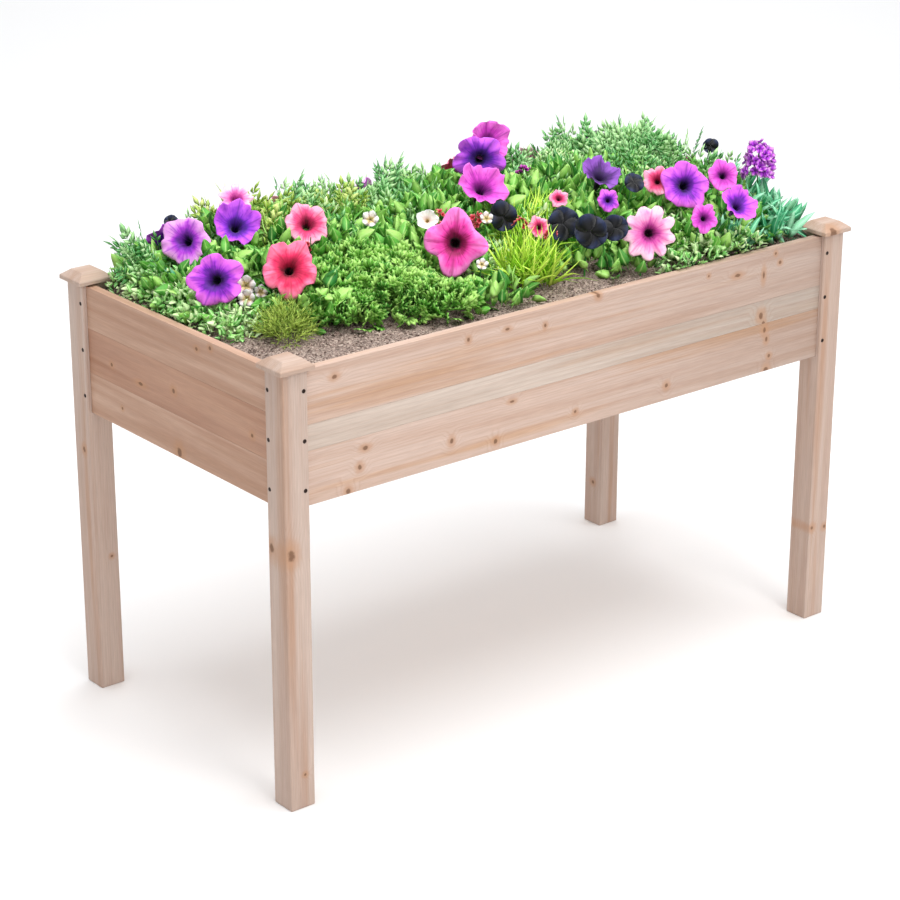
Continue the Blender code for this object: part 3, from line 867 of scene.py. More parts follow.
# %% [markdown]
# ## Leaves
#
# Every leaf here is one small closed solid: a flat tube of four edges, left, lower rib, right and upper
# rib, that closes to a point at each end. A card with a leaf drawn on it would be cheaper, but it has no
# edge, and it vanishes when it is seen from the side. Compound leaves are the same blade, set several
# times on a stalk. The blade's u runs across it and its v along it, for the ribs in the material.

# %% Leaf blades
LEAF_THICKNESS = 0.5 * MM


def ovate(t):
    """Widest below the middle, like a petunia's leaf."""
    return math.sin(math.pi * t ** 0.75) ** 0.8


def strap(t):
    """Even, then tapered, like a blade of grass."""
    return (1 - t) ** 0.55


def wedge(t):
    """Narrow at the foot and broad near the tip, like a lobe of parsley."""
    return math.sin(math.pi * t ** 1.5) ** 0.7


def uv_layer(bm):
    """The mesh's UV map, made on first use under the name that the finishes read."""
    return bm.loops.layers.uv.get("UVMap") or bm.loops.layers.uv.new("UVMap")


def blade(bm, place, length, width, outline, bow=0.0, fold=0.2, sections=(0.3, 0.6, 0.87)):
    """A closed leaf blade along local +Z, upper face towards +X. It bows away by a share of its length."""
    uv = uv_layer(bm)
    thick = min(LEAF_THICKNESS, width / 5)
    seats = {}

    def point(across, rise, t, u):
        spot = Vector((rise - bow * length * t * t, across, length * t * (1 - 0.25 * abs(bow) * t)))
        vert = bm.verts.new(place @ spot)
        seats[vert] = (u, t)
        return vert

    rings = [[point(0.0, 0.0, 0.0, 0.5)]]
    for t in sections:
        half = width / 2 * outline(t)
        crease = fold * half
        ring = [point(-half, crease, t, 0.0), point(0.0, -thick / 2, t, 0.5)]
        rings.append(ring + [point(half, crease, t, 1.0), point(0.0, thick / 2, t, 0.5)])
    rings.append([point(0.0, 0.0, 1.0, 0.5)])
    for _, face in bridge(bm, rings):
        face.smooth = True
        for corner in face.loops:
            corner[uv].uv = seats[corner.vert]


def at(turn=0.0, lean=0.0, spot=(0.0, 0.0, 0.0)):
    """Where a blade is set on its stalk: leaned over, then turned about the stalk."""
    return Matrix.Translation(Vector(spot)) @ Matrix.Rotation(turn, 4, "Z") @ Matrix.Rotation(lean, 4, "Y")


def leaf_pattern(name, build):
    """Runs a builder on an empty mesh and keeps the result as a pattern."""
    bm = bmesh.new()
    build(bm)
    mesh = mesh_from(bm, name, outward=True)
    print(name, "has", len(mesh.polygons), "faces")
    return pattern(name, mesh)


def build_broad(bm):
    """A broad soft leaf on a short stalk."""
    blade(bm, at(), 14 * MM, 2.2 * MM, strap, sections=(0.5,))
    blade(bm, at(lean=0.15, spot=(0.0, 0.0, 9 * MM)), 36 * MM, 21 * MM, ovate, bow=0.35)


def build_small(bm):
    """A pair of small leaves, as on a creeping shoot."""
    for side in (-1, 1):
        blade(bm, at(lean=0.75 * side), 20 * MM, 10 * MM, ovate, bow=0.25, sections=(0.4, 0.8))


def build_parsley(bm):
    """Three lobed leaflets on one stalk."""
    blade(bm, at(), 22 * MM, 2.0 * MM, strap, sections=(0.5,))
    side_lobes = (-0.35, 0.35)
    for side, foot, reach, lobes in (
        (-1, 16, 16, side_lobes), (0, 20, 20, (-0.55, 0.0, 0.55)), (1, 16, 16, side_lobes),
    ):
        joint = at(spot=(0.0, 0.0, foot * MM)) @ Matrix.Rotation(0.95 * side, 4, "X")
        for lobe in lobes:
            length = (reach - 4 * abs(lobe)) * MM
            fanned = joint @ Matrix.Rotation(lobe, 4, "X")
            blade(bm, fanned, length, 11 * MM, wedge, bow=0.3, sections=(0.62,))


def build_fern(bm):
    """A feathery frond: a stalk with pairs of leaflets that shorten towards the tip, and one at the tip."""
    length, bow, pairs = 92 * MM, 0.3, 4
    blade(bm, at(), length, 2.0 * MM, strap, bow=bow, sections=(0.5,))
    for step in range(pairs):
        t = 0.26 + 0.62 * step / pairs
        foot = Matrix.Translation((-bow * length * t * t, 0.0, 0.93 * length * t))
        for side in (-1, 1):
            reach = (30 - 4 * step) * MM
            aim = Matrix.Rotation(side * (0.95 - 0.08 * step), 4, "X")
            blade(bm, foot @ aim, reach, 9.0 * MM, ovate, bow=0.25, sections=(0.5,))
    tip = at(lean=-0.35, spot=(-0.16 * length, 0.0, 0.72 * length))
    blade(bm, tip, 24 * MM, 9 * MM, ovate, sections=(0.5,))


def build_grass(bm):
    """One arching blade of grass."""
    blade(bm, at(), 100 * MM, 7.0 * MM, strap, bow=0.4, fold=0.5, sections=(0.12, 0.4, 0.7))


def build_needle(bm):
    """A fine soft shoot with needle leaves."""
    length, bow, count = 42 * MM, 0.2, 7
    blade(bm, at(), length, 1.4 * MM, strap, bow=bow, sections=(0.5,))
    for step in range(count):
        foot = (-bow * length * (step / count) ** 2, 0.0, (10 + 4.4 * step) * MM)
        blade(bm, at(2.4 * step, 0.7, foot), 13 * MM, 2.0 * MM, strap, sections=(0.4,))


def build_willow(bm):
    """A long narrow leaf."""
    blade(bm, at(), 62 * MM, 15 * MM, ovate, bow=0.4, sections=(0.25, 0.5, 0.8))


LEAVES = {
    "broad": leaf_pattern("broad_leaf", build_broad),
    "small": leaf_pattern("small_leaf_pair", build_small),
    "parsley": leaf_pattern("parsley_leaf", build_parsley),
    "fern": leaf_pattern("fern_frond", build_fern),
    "dill": leaf_pattern("dill_frond", build_fern),
    "grass": leaf_pattern("grass_blade", build_grass),
    "needle": leaf_pattern("needle_shoot", build_needle),
    "willow": leaf_pattern("willow_leaf", build_willow),
}

# %% [markdown]
# ## Leaf and petal finishes
#
# A fresh leaf is a soft green that is never even. Old leaves are darker and bluer than young ones, so the
# tint that each leaf drew sets where it lies between two greens. The rib is paler, and the face has a
# dull wax shine. Petals are the opposite: almost no shine, a velvety edge light that sheen gives, and a
# colour that runs from a dark throat to a pale rim, with darker veins that fan out from the throat.

# %% Leaf finish
def leaf_finish(name, deep, mid, young, rib):
    """A living leaf: greens from deep to young by the leaf's own tint, a paler rib, and painted shade at its
    foot.
    """
    made, tree, shader = new_material(name, Roughness=0.52, IOR=1.42)
    tint = add(tree, "ShaderNodeAttribute", attribute_name="tint", out="Fac")
    place = add(tree, "ShaderNodeTexCoord", out="Object")
    mottle = add(tree, "ShaderNodeTexNoise", {"Vector": place, "Scale": per_mm(24.0), "Detail": 2.0})
    mixed = add(tree, "ShaderNodeMath", {0: mottle, 1: 0.7, 2: tint}, operation="MULTIPLY_ADD")
    green = ramp(add(tree, "ShaderNodeValToRGB", {"Fac": mixed}), [(0.25, deep), (0.75, mid), (1.0, young)])
    unrolled = add(tree, "ShaderNodeUVMap", uv_map="UVMap")
    across, up, _ = add(tree, "ShaderNodeSeparateXYZ", {0: unrolled}).node.outputs
    off = add(tree, "ShaderNodeMath", {0: across, 1: 0.5}, operation="SUBTRACT")
    side = add(tree, "ShaderNodeMath", {0: off}, operation="ABSOLUTE")
    span = {"Value": side, "From Min": 0.10, "From Max": 0.02, "To Max": 0.7}
    ribbed = add(tree, "ShaderNodeMapRange", span, interpolation_type="SMOOTHSTEP")
    shade = add(tree, "ShaderNodeMix", {0: ribbed, 6: green, 7: linear(rib)}, data_type="RGBA", out=2)
    # Painted shade: each blade is darker towards its foot, which lies deeper in the plant.
    span = {"Value": up, "From Max": 0.3, "To Min": 0.72, "To Max": 1.0}
    foot = add(tree, "ShaderNodeMapRange", span)
    toned = {0: 1.0, 6: shade, 7: foot}
    shade = add(tree, "ShaderNodeMix", toned, data_type="RGBA", blend_type="MULTIPLY", out=2)
    cells = add(tree, "ShaderNodeTexVoronoi", {"Vector": place, "Scale": per_mm(3.5)})
    bump = add(tree, "ShaderNodeBump", {"Height": cells, "Strength": 0.35, "Distance": 0.4 * MM})
    feed(tree, shader, {"Base Color": shade, "Normal": bump})
    return made


GREENS = {kind: leaf_finish(*tones) for kind, tones in {
    # kind of leaf: the finish, then its deep, middle and young green and its rib
    "broad": ("petunia_leaf_green", "#2C8034", "#6CBC48", "#B0E676", "#BEE68E"),
    "small": ("creeper_leaf_green", "#70CC64", "#B0EA88", "#E4FCC0", "#E4FCC8"),
    "parsley": ("parsley_green", "#348026", "#6CB63E", "#AEE070", "#B8E484"),
    "fern": ("fern_green", "#3A9048", "#76C070", "#BCE8A4", "#C0EAAE"),
    "dill": ("dill_green", "#7CA234", "#ACCE54", "#DEF090", "#E0F0A0"),
    "grass": ("chartreuse_grass", "#6CB212", "#A2DE2C", "#DAF866", "#D0F064"),
    "needle": ("olive_needle_green", "#5C821E", "#86AA34", "#B8D05C", "#B0C65C"),
    "willow": ("sage_leaf_green", "#2C9464", "#5CC08C", "#A4E6BC", "#B8EECC"),
}.items()}

# %% Petal finish
def petal_finish(name, throat, middle, rim, vein, edge=0.55, rays=5):
    """A petal: a dark throat, a middle and a rim colour, veins that fan out, and a ray along each lobe."""
    made, tree, shader = new_material(name, Roughness=0.6, IOR=1.4, Sheen_Weight=0.12, Sheen_Roughness=0.4)
    place = add(tree, "ShaderNodeUVMap", uv_map="UVMap")
    around, outward, _ = add(tree, "ShaderNodeSeparateXYZ", {0: place}).node.outputs
    fan = add(tree, "ShaderNodeVectorMath", {0: place, 1: (60.0, 2.2, 0.0)}, operation="MULTIPLY")
    lines = add(tree, "ShaderNodeTexNoise", {"Vector": fan, "Scale": 1.0, "Detail": 2.0})
    shifted = add(tree, "ShaderNodeMath", {0: lines, 1: 0.26, 2: outward}, operation="MULTIPLY_ADD")
    body = add(tree, "ShaderNodeTexCoord", out="Object")
    blotch = add(tree, "ShaderNodeTexNoise", {"Vector": body, "Scale": per_mm(17.0), "Detail": 2.0})
    swing = add(tree, "ShaderNodeMath", {0: blotch, 1: 0.9, 2: -0.45}, operation="MULTIPLY_ADD")
    outer = add(tree, "ShaderNodeMath", {0: swing, 1: outward, 2: shifted}, operation="MULTIPLY_ADD")
    stops = [(0.42, throat), (edge, vein), (0.72, middle), (0.98, rim)]
    shade = ramp(add(tree, "ShaderNodeValToRGB", {"Fac": outer}), stops)
    round_it = add(tree, "ShaderNodeMath", {0: around, 1: rays}, operation="MULTIPLY")
    off = add(tree, "ShaderNodeMath", {0: round_it, 1: 0.5}, operation="PINGPONG")
    taper = add(tree, "ShaderNodeMath", {0: outward, 1: -0.24, 2: 0.25}, operation="MULTIPLY_ADD")
    span = {"Value": off, "From Min": taper, "From Max": 0.0, "To Max": 0.6}
    ray = add(tree, "ShaderNodeMapRange", span)
    shade = add(tree, "ShaderNodeMix", {0: ray, 6: shade, 7: linear(vein)}, data_type="RGBA", out=2)
    span = {"Value": lines, "From Min": 0.42, "From Max": 0.30, "To Max": 0.5}
    veined = add(tree, "ShaderNodeMapRange", span, interpolation_type="SMOOTHSTEP")
    shade = add(tree, "ShaderNodeMix", {0: veined, 6: shade, 7: linear(vein)}, data_type="RGBA", out=2)
    bump = add(tree, "ShaderNodeBump", {"Height": lines, "Strength": 0.5, "Distance": 0.5 * MM})
    feed(tree, shader, {"Base Color": shade, "Normal": bump})
    return made


PETALS = {colour: petal_finish(f"{colour}_petal", *tones) for colour, tones in {
    # colour: throat, middle, rim, vein, and sometimes where the dark throat ends and the number of rays
    "lilac": ("#1C0648", "#BE40DC", "#F0A4F0", "#8424B8", 0.60),
    "violet": ("#120436", "#A42CD4", "#E468E8", "#6414A0", 0.62),
    "purple": ("#120436", "#8220C4", "#C858E8", "#4C1090", 0.60),
    "plum": ("#0E0418", "#4A1670", "#9054BC", "#280A44"),
    "orchid": ("#B434DC", "#D45CF0", "#F8B0FC", "#C040E4"),
    "magenta": ("#38044C", "#C834BC", "#EC6CD8", "#8C1888"),
    "crimson": ("#2C040E", "#E8225E", "#F8789E", "#AC0E3C"),
    "rose": ("#400418", "#EA4480", "#FAA8C4", "#B41850"),
    "hot_pink": ("#30031A", "#FA40B4", "#FF84D8", "#A00E5C", 0.55, 4),
    "blush": ("#5A0A50", "#F084C0", "#FCC8E0", "#C8409C"),
    "scarlet": ("#B81428", "#F04C5C", "#FA9094", "#D02C44"),
    "cream": ("#E8D48A", "#FBF2EC", "#FFFFFF", "#EED8D2"),
    "night": ("#05060C", "#0E1428", "#202C4E", "#070910"),
}.items()}
print("finishes:", len(GREENS), "greens and", len(PETALS), "petals")

# %% [markdown]
# ## Planting
#
# The bed is planted as a gardener would: feathery greens along the back, a mound of parsley and two tufts
# of grass in front, petunias at both ends, and low leaves between. Each planting is a list of seats,
# given in millimetres from the middle of the bed, with the radius and the height of the mound. The seats
# that stand in one of the solid model's clumps are joined and sown by one run of the scattering tree, so
# that each clump gets pieces of its own. Leaves that would grow through a flower or hide its face are
# picked off whole afterwards.

# %% Plantings
# Each planting: the leaf, its seats as (x, y, radius, height) in millimetres, how many leaves to a square
# metre, the smallest and largest leaf, the lean in radians, and the pull upwards.
PLANTING = {
    "petunia_leaves": ("broad", [
        (-455, 105, 85, 70), (-395, 180, 85, 85), (-300, 190, 80, 85), (-475, 20, 70, 45),
        (-400, 10, 80, 62), (-330, 90, 85, 75), (-390, -70, 70, 50), (-240, 70, 90, 75),
        (-150, 120, 90, 70), (-130, 10, 85, 62), (-110, -90, 60, 45), (-40, 60, 90, 80), (60, 40, 90, 90),
        (60, 140, 90, 90), (150, 60, 90, 85), (190, -90, 80, 70), (225, -185, 55, 35), (290, -60, 90, 85),
        (260, 80, 90, 85), (370, -110, 85, 68), (380, 60, 95, 85), (430, -165, 75, 55), (470, -60, 80, 80),
        (480, 90, 80, 85), (330, -205, 50, 38), (-470, 210, 60, 50), (-60, 200, 70, 60), (200, 205, 70, 70),
        (450, 200, 70, 70),
    ], 5200.0, 0.65, 1.15, 0.75, 0.5),
    "creeper_leaves": ("small", [
        (-525, 150, 45, 46), (-530, 70, 42, 42), (-535, 0, 38, 34), (-520, 215, 45, 44),
        (-470, -60, 40, 28), (-525, -60, 38, 22), (-495, 110, 50, 52), (330, -150, 60, 60),
        (300, -245, 50, 32), (390, -245, 48, 36), (240, -262, 34, 24), (490, -190, 50, 50),
        (530, -110, 45, 60), (-20, -80, 50, 55), (110, -60, 60, 80), (530, 60, 45, 60), (-515, 40, 50, 52),
        (-500, -40, 42, 44), (-440, -40, 34, 40), (-190, 160, 60, 95), (330, 140, 70, 105),
        (420, 10, 70, 105),
    ], 9000.0, 0.6, 1.1, 0.8, 0.4),
    "fern_fronds": ("fern", [
        (x, y, 38, height) for x, y, height in (
            (-480, 190, 54), (-430, 225, 74), (-370, 190, 40), (-215, 215, 70), (-160, 180, 44),
            (-110, 215, 66), (-55, 180, 44), (0, 215, 64), (60, 185, 40), (120, 215, 60), (170, 160, 38),
            (220, 215, 66), (280, 175, 50), (330, 215, 72), (385, 170, 60), (430, 215, 76), (480, 160, 70),
            (510, 215, 60), (520, 100, 84), (450, 120, 84), (400, 20, 76), (470, -30, 92), (440, 60, 96),
            (-240, 110, 34), (-180, 130, 30), (-60, 110, 34), (0, 120, 34), (200, 60, 34), (270, 100, 40),
            (330, 80, 50), (420, 70, 66), (480, 30, 80), (520, -40, 84),
        )
    ], 6200.0, 0.7, 1.05, 0.4, 1.4),
    "dill_fronds": ("dill", [
        (-320, 215, 34, 74), (-265, 195, 34, 62), (-300, 150, 36, 44), (-130, 170, 34, 52),
    ], 6200.0, 0.7, 1.05, 0.4, 1.4),
    "parsley_leaves": ("parsley", [
        (-270, -105, 88, 46), (-205, -165, 62, 32), (-335, -60, 60, 40), (-195, -60, 70, 48),
        (-250, -10, 70, 55), (-355, -125, 45, 26),
    ], 11500.0, 0.7, 1.15, 0.7, 0.45),
    "grass_blades": ("grass", [
        (-20, -160, 22, 12), (15, -175, 18, 10), (112, -34, 28, 30), (80, -70, 18, 22),
    ], 52000.0, 0.65, 1.1, 0.5, 0.9),
    "olive_tuft": ("needle", [(-462, -122, 20, 20), (-478, -142, 16, 14)], 75000.0, 0.7, 1.2, 0.6, 0.6),
    "seedling_leaves": ("broad", [
        (-130, -220, 34, 18), (-85, -205, 34, 20), (-160, -190, 30, 16), (110, -185, 40, 22),
        (160, -225, 26, 12),
    ], 7500.0, 0.7, 1.05, 0.7, 0.5),
    "sage_leaves": ("willow", [
        (530, -185, 34, 34), (545, -100, 30, 50), (500, -235, 26, 22), (400, -225, 24, 14),
        (480, -190, 34, 46), (-500, 120, 24, 18), (540, -20, 26, 60),
    ], 9500.0, 0.7, 1.15, 0.7, 0.7),
}
SEAT_RINGS, SEAT_SIDES = 5, 16
RIM = Vector(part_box("front_top_board")[1]).z
WALLS = Vector(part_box("liner")[1]) - Vector((2 * MM, 2 * MM, 0.0))
CLUMPS = [name for name in nodes if name.endswith("_clump") or "_clump_" in name]
CANOPY = max(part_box(name)[1][2] for name in CLUMPS)
OVERHANG, RIM_CLEARANCE = 12 * MM, 4 * MM

# The room that each flower keeps free of leaves, as shares of its radius: where and how far to look for
# them, how deep behind the face, and how wide in front of the face and behind it.
LOOK_AHEAD, LOOK_ROUND = 0.8, 1.7
BEHIND, FACE_BACK = 0.6, 0.12
FACE_WIDE, TUBE_WIDE = 0.95, 0.3


def make_seat(name, mounds):
    """Half-ellipsoid seats, open below, joined in one mesh and facing out."""
    bm = bmesh.new()
    for x, y, radius, height in mounds:
        rings = []
        for step in range(SEAT_RINGS + 1):
            rise = math.pi / 2 * step / SEAT_RINGS
            reach = radius * math.cos(rise)
            level = GROUND / MM + height * math.sin(rise)
            rings.append([
                bm.verts.new(MM * Vector((x + reach * math.cos(a), y + reach * math.sin(a), level)))
                for a in angles_round(SEAT_SIDES if step < SEAT_RINGS else 1)
            ])
        bridge(bm, rings)
    return stand(name, mesh_from(bm, name))


def keep_in_bed(made):
    """Presses leaves back that would pass through a side. Above the rim they may hang over a little."""
    for vert in made.data.vertices:
        spread = OVERHANG if vert.co.z > RIM + RIM_CLEARANCE else 0.0
        for axis in (0, 1):
            wall = WALLS[axis] + spread
            vert.co[axis] = max(-wall, min(wall, vert.co[axis]))
    keep_under(made)


def keep_under(made):
    """Keeps a piece under the top of the solid model's plants."""
    for vert in made.data.vertices:
        vert.co.z = min(vert.co.z, CANOPY)


def nearest_clump(x):
    """The solid clump whose middle is nearest to a place along the bed, in millimetres."""
    return min(CLUMPS, key=lambda name: abs(x * MM - (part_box(name)[0][0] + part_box(name)[1][0]) / 2))


def clumps_under(places):
    """The solid clumps that pieces at these places along the bed stand in."""
    return sorted({nearest_clump(x) for x in places})


def pick_off(made, faces):
    """Picks off the whole leaves that grow into a flower or across its face."""
    drew = made.data.attributes["tint"].data
    near = KDTree(len(made.data.vertices))
    for vert in made.data.vertices:
        near.insert(vert.co, vert.index)
    near.balance()
    doomed = set()
    for spot, facing, size in faces:
        for place, index, _ in near.find_range(spot + LOOK_AHEAD * size * facing, LOOK_ROUND * size):
            rise = (place - spot).dot(facing)
            aside = (place - spot - rise * facing).length
            width = FACE_WIDE if rise > -FACE_BACK * size else TUBE_WIDE
            if -BEHIND * size < rise and aside < width * size:
                doomed.add(drew[index].value)
    bm = bmesh.new()
    bm.from_mesh(made.data)
    tint = bm.verts.layers.float["tint"]
    bmesh.ops.delete(bm, geom=[vert for vert in bm.verts if vert[tint] in doomed], context="VERTS")
    bm.to_mesh(made.data)
    bm.free()


def plant_all(faces):
    """Sows every planting, clump by clump, keeps it in the bed and picks it off the flowers."""
    for seed, (name, (kind, mounds, *habit)) in enumerate(PLANTING.items(), 40):
        for clump in clumps_under(mound[0] for mound in mounds):
            part = [mound for mound in mounds if nearest_clump(mound[0]) == clump]
            made = make_seat(f"{name}_of_{clump}", part)
            sow(made, LEAVES[kind], GREENS[kind], *habit, seed)
            keep_in_bed(made)
            pick_off(made, faces)
            finish_piece(made, [clump])

# %% [markdown]
# ## Flowers
#
# A petunia is one petal that runs from a narrow tube into a wide, wavy disc, nearly always with five
# lobes. It is a formula: for each step from the throat to the rim and each angle round it, a radius and a
# height. The lobes come from a slow wave round the rim, and the ruffle from faster ones that grow towards
# it. The sheet is given a thickness, so the flower is a closed solid that can be seen from behind as
# well. Pansies and florets are separate petals instead, and each of those is a short, wide leaf blade.

# %% Petunia
PETAL_SIDES = 48
PETAL_STEPS = (0.06, 0.14, 0.24, 0.34, 0.44, 0.56, 0.70, 0.84, 0.94, 1.0)
PETAL_THICKNESS = 0.012


def petunia(name, cup, ruffle, notch, lobes=5, blunt=0.55):
    """A petunia of radius 1 that opens along +Z from a tube.

    cup lifts the rim, ruffle waves it, notch parts the lobes, and blunt rounds them.
    """
    bm = bmesh.new()
    uv = uv_layer(bm)
    seats = {}
    tip = bm.verts.new((0.0, 0.0, -1.05))
    seats[tip] = (0.5, 0.0)
    rings = [[tip]]
    for t in PETAL_STEPS:
        flare = max(0.0, (t - 0.34) / 0.66)
        ring = []
        for i, a in enumerate(angles_round(PETAL_SIDES)):
            lobe = abs(math.cos(lobes * a / 2)) ** blunt
            reach = 0.16 * min(1.0, t / 0.24) ** 0.5 + 0.84 * flare ** 0.85
            reach *= 1 - notch * (1 - lobe) * flare ** 2
            reach *= 1 + flare * (0.05 * math.sin(2 * a + 0.8) + 0.035 * math.sin(7 * a + 0.3))
            height = -1.05 + 0.93 * min(1.0, t / 0.44) + 0.12 * flare ** 0.5
            height += cup * flare ** 2 + 0.09 * (lobe - 0.7) * flare - 0.10 * flare ** 5
            waves = math.sin(10 * a + 0.6) + 0.7 * math.sin(15 * a + 2.0) + math.sin(3 * a)
            height += ruffle * flare ** 3 * waves
            vert = bm.verts.new((reach * math.cos(a), reach * math.sin(a), height))
            seats[vert] = (i / PETAL_SIDES, t)
            ring.append(vert)
        rings.append(ring)
    for i, face in bridge(bm, rings):
        face.smooth = True
        for corner in face.loops:
            u, v = seats[corner.vert]
            wrapped = u + 1.0 if i == PETAL_SIDES - 1 and u < 0.5 and v > 0 else u
            corner[uv].uv = (wrapped, v)
    made = pattern(name, mesh_from(bm, name))
    wall = made.modifiers.new("petal wall", "SOLIDIFY")
    wall.thickness = PETAL_THICKNESS
    wall.offset = 0.0
    solid = plain_mesh(made)
    print(name, "has", len(solid.polygons), "faces")
    return pattern(name, solid)


def wedge_petal(t):
    """A petal's outline: narrow at the middle of the flower, and round at its edge."""
    return math.sin(math.pi * min(1.0, t ** 1.15 * 0.97 + 0.02)) ** 0.55


def petals(name, rows, width, bow, fold, sections, lift=0.0):
    """A flower of separate petals, of radius 1. Each is given as (turn, length, rise); lift cups them."""
    bm = bmesh.new()
    for turn, reach, rise in rows:
        place = Matrix.Translation((0.0, 0.0, rise)) @ Matrix.Rotation(turn, 4, "Z")
        place = place @ Matrix.Rotation(lift - math.pi / 2, 4, "X") @ Matrix.Rotation(math.pi / 2, 4, "Z")
        blade(bm, place, reach, width, wedge_petal, bow=bow, fold=fold, sections=sections)
    return pattern(name, mesh_from(bm, name, outward=True))


# A pansy has two petals above, two at the sides and one below, and a floret has five alike.
PANSY_PETALS = (
    (0.45, 1.0, -0.10), (-0.45, 1.0, -0.06), (1.55, 0.92, 0.0), (-1.55, 0.92, 0.04), (math.pi, 1.0, 0.10),
)
FLORET_PETALS = [(turn, 1.0, 0.0) for turn in angles_round(5)]
SHAPES = {
    "open": petunia("open_petunia", 0.06, 0.06, 0.18),
    "cupped": petunia("cupped_petunia", 0.38, 0.09, 0.18),
    "frilled": petunia("frilled_petunia", 0.0, 0.10, 0.26),
    "scalloped": petunia("scalloped_petunia", 0.02, 0.06, 0.36, 9),
    "starred": petunia("starred_petunia", 0.04, 0.05, 0.30, 4, 1.6),
    "pansy": petals("pansy", PANSY_PETALS, 1.25, 0.12, 0.10, (0.12, 0.3, 0.5, 0.7, 0.86, 0.96)),
    "floret": petals("floret", FLORET_PETALS, 0.85, 0.2, 0.15, (0.35, 0.75), 0.35),
}

# %% [markdown]
# ## Where each flower stands
#
# Flowers turn to the light, so most face up and outwards. Each row gives the shape, the colour, the place
# in millimetres from the middle of the bed and above the soil, the width, and the way it faces: turned to
# the right of straight ahead, and tilted up from level, in degrees. A spike or a sprig is a small mound,
# held up on a stalk, that is sown all over with florets.

# %% Flowers
FLOWERS = (
    ("open", "lilac", -462, 157, 88, 84, -55, 25), ("cupped", "purple", -377, 134, 104, 82, -20, 45),
    ("frilled", "violet", -520, -15, 76, 88, -42, 20), ("scalloped", "blush", -345, 180, 134, 62, -25, 50),
    ("open", "rose", -286, 63, 106, 76, -25, 42), ("frilled", "crimson", -408, -58, 84, 94, -30, 35),
    ("starred", "hot_pink", -127, -125, 88, 110, -39, 16),
    ("cupped", "magenta", 203, 190, 138, 80, -10, 30), ("frilled", "purple", 150, 150, 124, 90, -39, 14),
    ("cupped", "magenta", 62, 36, 112, 86, -15, 50), ("frilled", "rose", 44, -136, 86, 40, -20, 30),
    ("frilled", "rose", 128, -88, 110, 36, -20, 50), ("pansy", "night", 16, -75, 96, 54, -30, 25),
    ("pansy", "night", 81, -152, 88, 60, -30, 12), ("pansy", "night", 108, -191, 80, 62, -39, 15),
    ("pansy", "night", 141, -212, 84, 50, -50, 20), ("cupped", "plum", 251, -54, 120, 72, -10, 62),
    ("frilled", "violet", 199, -133, 104, 40, -30, 30), ("pansy", "night", 265, -124, 120, 40, -20, 40),
    ("scalloped", "blush", 185, -250, 76, 92, -39, 18), ("open", "violet", 345, -166, 112, 84, -30, 25),
    ("frilled", "rose", 315, -129, 118, 54, -45, 40), ("frilled", "magenta", 290, -272, 88, 50, -25, 30),
    ("cupped", "violet", 372, -268, 94, 66, -10, 45), ("open", "magenta", 410, -192, 124, 56, -35, 35),
    ("cupped", "cream", -102, -21, 98, 36, -39, 30), ("floret", "cream", -179, 33, 100, 36, -39, 35),
    ("floret", "cream", -452, 1, 48, 42, -40, 25), ("floret", "cream", -468, -24, 36, 36, -45, 30),
    ("floret", "cream", -17, -71, 96, 28, -30, 40), ("floret", "cream", -104, -165, 56, 26, -30, 40),
    ("floret", "cream", -435, -15, 38, 30, -20, 35), ("open", "purple", -450, 225, 70, 80, 165, 25),
    ("open", "rose", -250, 235, 78, 76, 185, 30), ("frilled", "lilac", -60, 235, 72, 82, 175, 20),
    ("open", "crimson", 140, 238, 76, 84, 190, 25), ("frilled", "blush", 320, 232, 74, 78, 170, 30),
    ("open", "violet", 480, 215, 80, 82, 150, 30), ("open", "magenta", 520, 60, 84, 74, 95, 30),
    ("frilled", "hot_pink", 515, -20, 80, 78, 80, 35), ("pansy", "night", 521, -47, 128, 30, -39, 30),
    ("pansy", "night", -440, 230, 98, 28, -39, 30),
)
# name: colour, seats, height of the head's top, width of a floret, and florets to a square metre
FLORET_HEADS = {
    "orchid_spike": ("orchid", [(515, -172, 24, 58)], 160, 13.0, 5200.0),
    "magenta_sprig": ("magenta", [(205, 95, 14, 20), (500, -60, 12, 16)], 112, 8.0, 9000.0),
    "red_sprigs": ("scarlet", [
        (-45, 14, 14, 18), (-9, -34, 13, 14), (35, -96, 10, 12), (41, -168, 9, 12), (-80, -40, 10, 12),
        (-310, 20, 10, 14),
    ], 98, 7.5, 9000.0),
}


STALK_RADIUS, STALK_SIDES, STALK_STEPS = 1.6 * MM, 5, 5
STALK_KNEE, STALK_TAPER = 0.6, 0.4
CALYX_BACK, CALYX_SIZE = 1.04, 0.34
ROOT_PULL = (0.97, 0.95)
FLORET_RANGE, FLORET_LEAN, FLORET_UPWARD = (0.8, 1.2), 0.5, 0.1


def flower_marks():
    """Groups the flowers by shape and colour, as marks for the tree."""
    draw = random.Random(3)
    groups = {}
    for shape, colour, x, y, height, width, turn, tilt in FLOWERS:
        spot = Vector((x * MM, y * MM, GROUND + height * MM))
        turn, tilt = math.radians(turn), math.radians(tilt)
        level = math.cos(tilt)
        facing = Vector((math.sin(turn) * level, -math.cos(turn) * level, math.sin(tilt)))
        spin = math.pi / 4 if shape == "starred" else draw.uniform(0.0, 2 * math.pi)
        groups.setdefault((shape, colour), []).append((spot, facing, width * MM / 2, spin))
    return groups


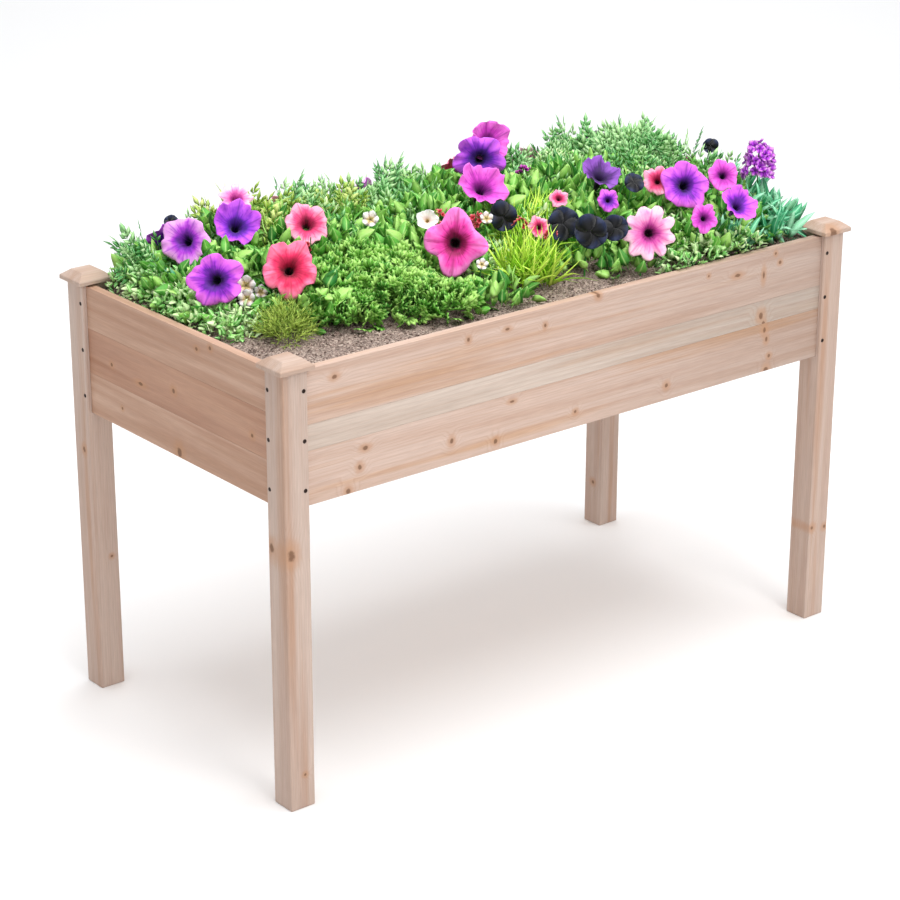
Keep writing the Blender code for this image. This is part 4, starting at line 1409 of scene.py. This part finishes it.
def stalk(bm, start, end):
    """A tapering stalk that leaves the ground upright and bends to its flower, closed at both ends."""
    knee = Vector((start.x, start.y, start.z + STALK_KNEE * (end.z - start.z)))
    rings = []
    for step in range(STALK_STEPS + 1):
        t = step / STALK_STEPS
        middle = start.lerp(knee, t).lerp(knee.lerp(end, t), t)
        girth = STALK_RADIUS * (1 - STALK_TAPER * t)
        rings.append([
            bm.verts.new(middle + girth * Vector((math.cos(a), math.sin(a), 0.0)))
            for a in angles_round(STALK_SIDES)
        ])
    bridge(bm, rings)
    bm.faces.new(list(reversed(rings[0])))
    bm.faces.new(rings[-1])


def make_flowers():
    """Sets every flower, then the calyces behind them and the stalks under them."""
    bm = bmesh.new()
    uv_layer(bm)
    calyces = []
    for (shape, colour), rows in flower_marks().items():
        made = marks(f"{colour}_{shape}_flowers", rows)
        run_tree(made, on_marks, {"Piece": SHAPES[shape], "Finish": PETALS[colour]})
        keep_under(made)
        finish_piece(made, clumps_under(row[0].x / MM for row in rows))
        for spot, facing, size, spin in rows:
            if shape not in ("pansy", "floret"):
                calyces.append((spot - CALYX_BACK * facing * size, facing, CALYX_SIZE * size, spin))
            foot = Vector((spot.x * ROOT_PULL[0], spot.y * ROOT_PULL[1], GROUND))
            stalk(bm, foot, spot - facing * size)
    for _, mounds, height, _, _ in FLORET_HEADS.values():
        for x, y, _, _ in mounds:
            stalk(bm, MM * Vector((x, y, GROUND / MM)), MM * Vector((x, y, GROUND / MM + height)))
    cups = marks("calyces", calyces)
    run_tree(cups, on_marks, {"Piece": SHAPES["floret"], "Finish": GREENS["broad"]})
    finish_piece(cups)
    stalks = stand("flower_stalks", mesh_from(bm, "flower_stalks"))
    stalks.data.materials.append(GREENS["broad"])
    finish_piece(stalks)


def make_floret_heads():
    """Spikes and sprigs: florets all over a small dome on a stalk."""
    for seed, (name, (colour, mounds, height, width, density)) in enumerate(FLORET_HEADS.items(), 70):
        seat = make_seat(name, mounds)
        seat.data.transform(Matrix.Translation((0.0, 0.0, (height - mounds[0][3]) * MM)))
        sizes = [share * width * MM for share in FLORET_RANGE]
        sow(seat, SHAPES["floret"], PETALS[colour], density, *sizes, FLORET_LEAN, FLORET_UPWARD, seed)
        keep_under(seat)
        finish_piece(seat, clumps_under(mound[0] for mound in mounds))


make_flowers()
make_floret_heads()
plant_all([row[:3] for rows in flower_marks().values() for row in rows])

# %% [markdown]
# ## Close
#
# The patterns were only ever copied, so they go.

# %% Close
for made in list(patterns.objects):
    bpy.data.objects.remove(made)
bpy.data.collections.remove(patterns)
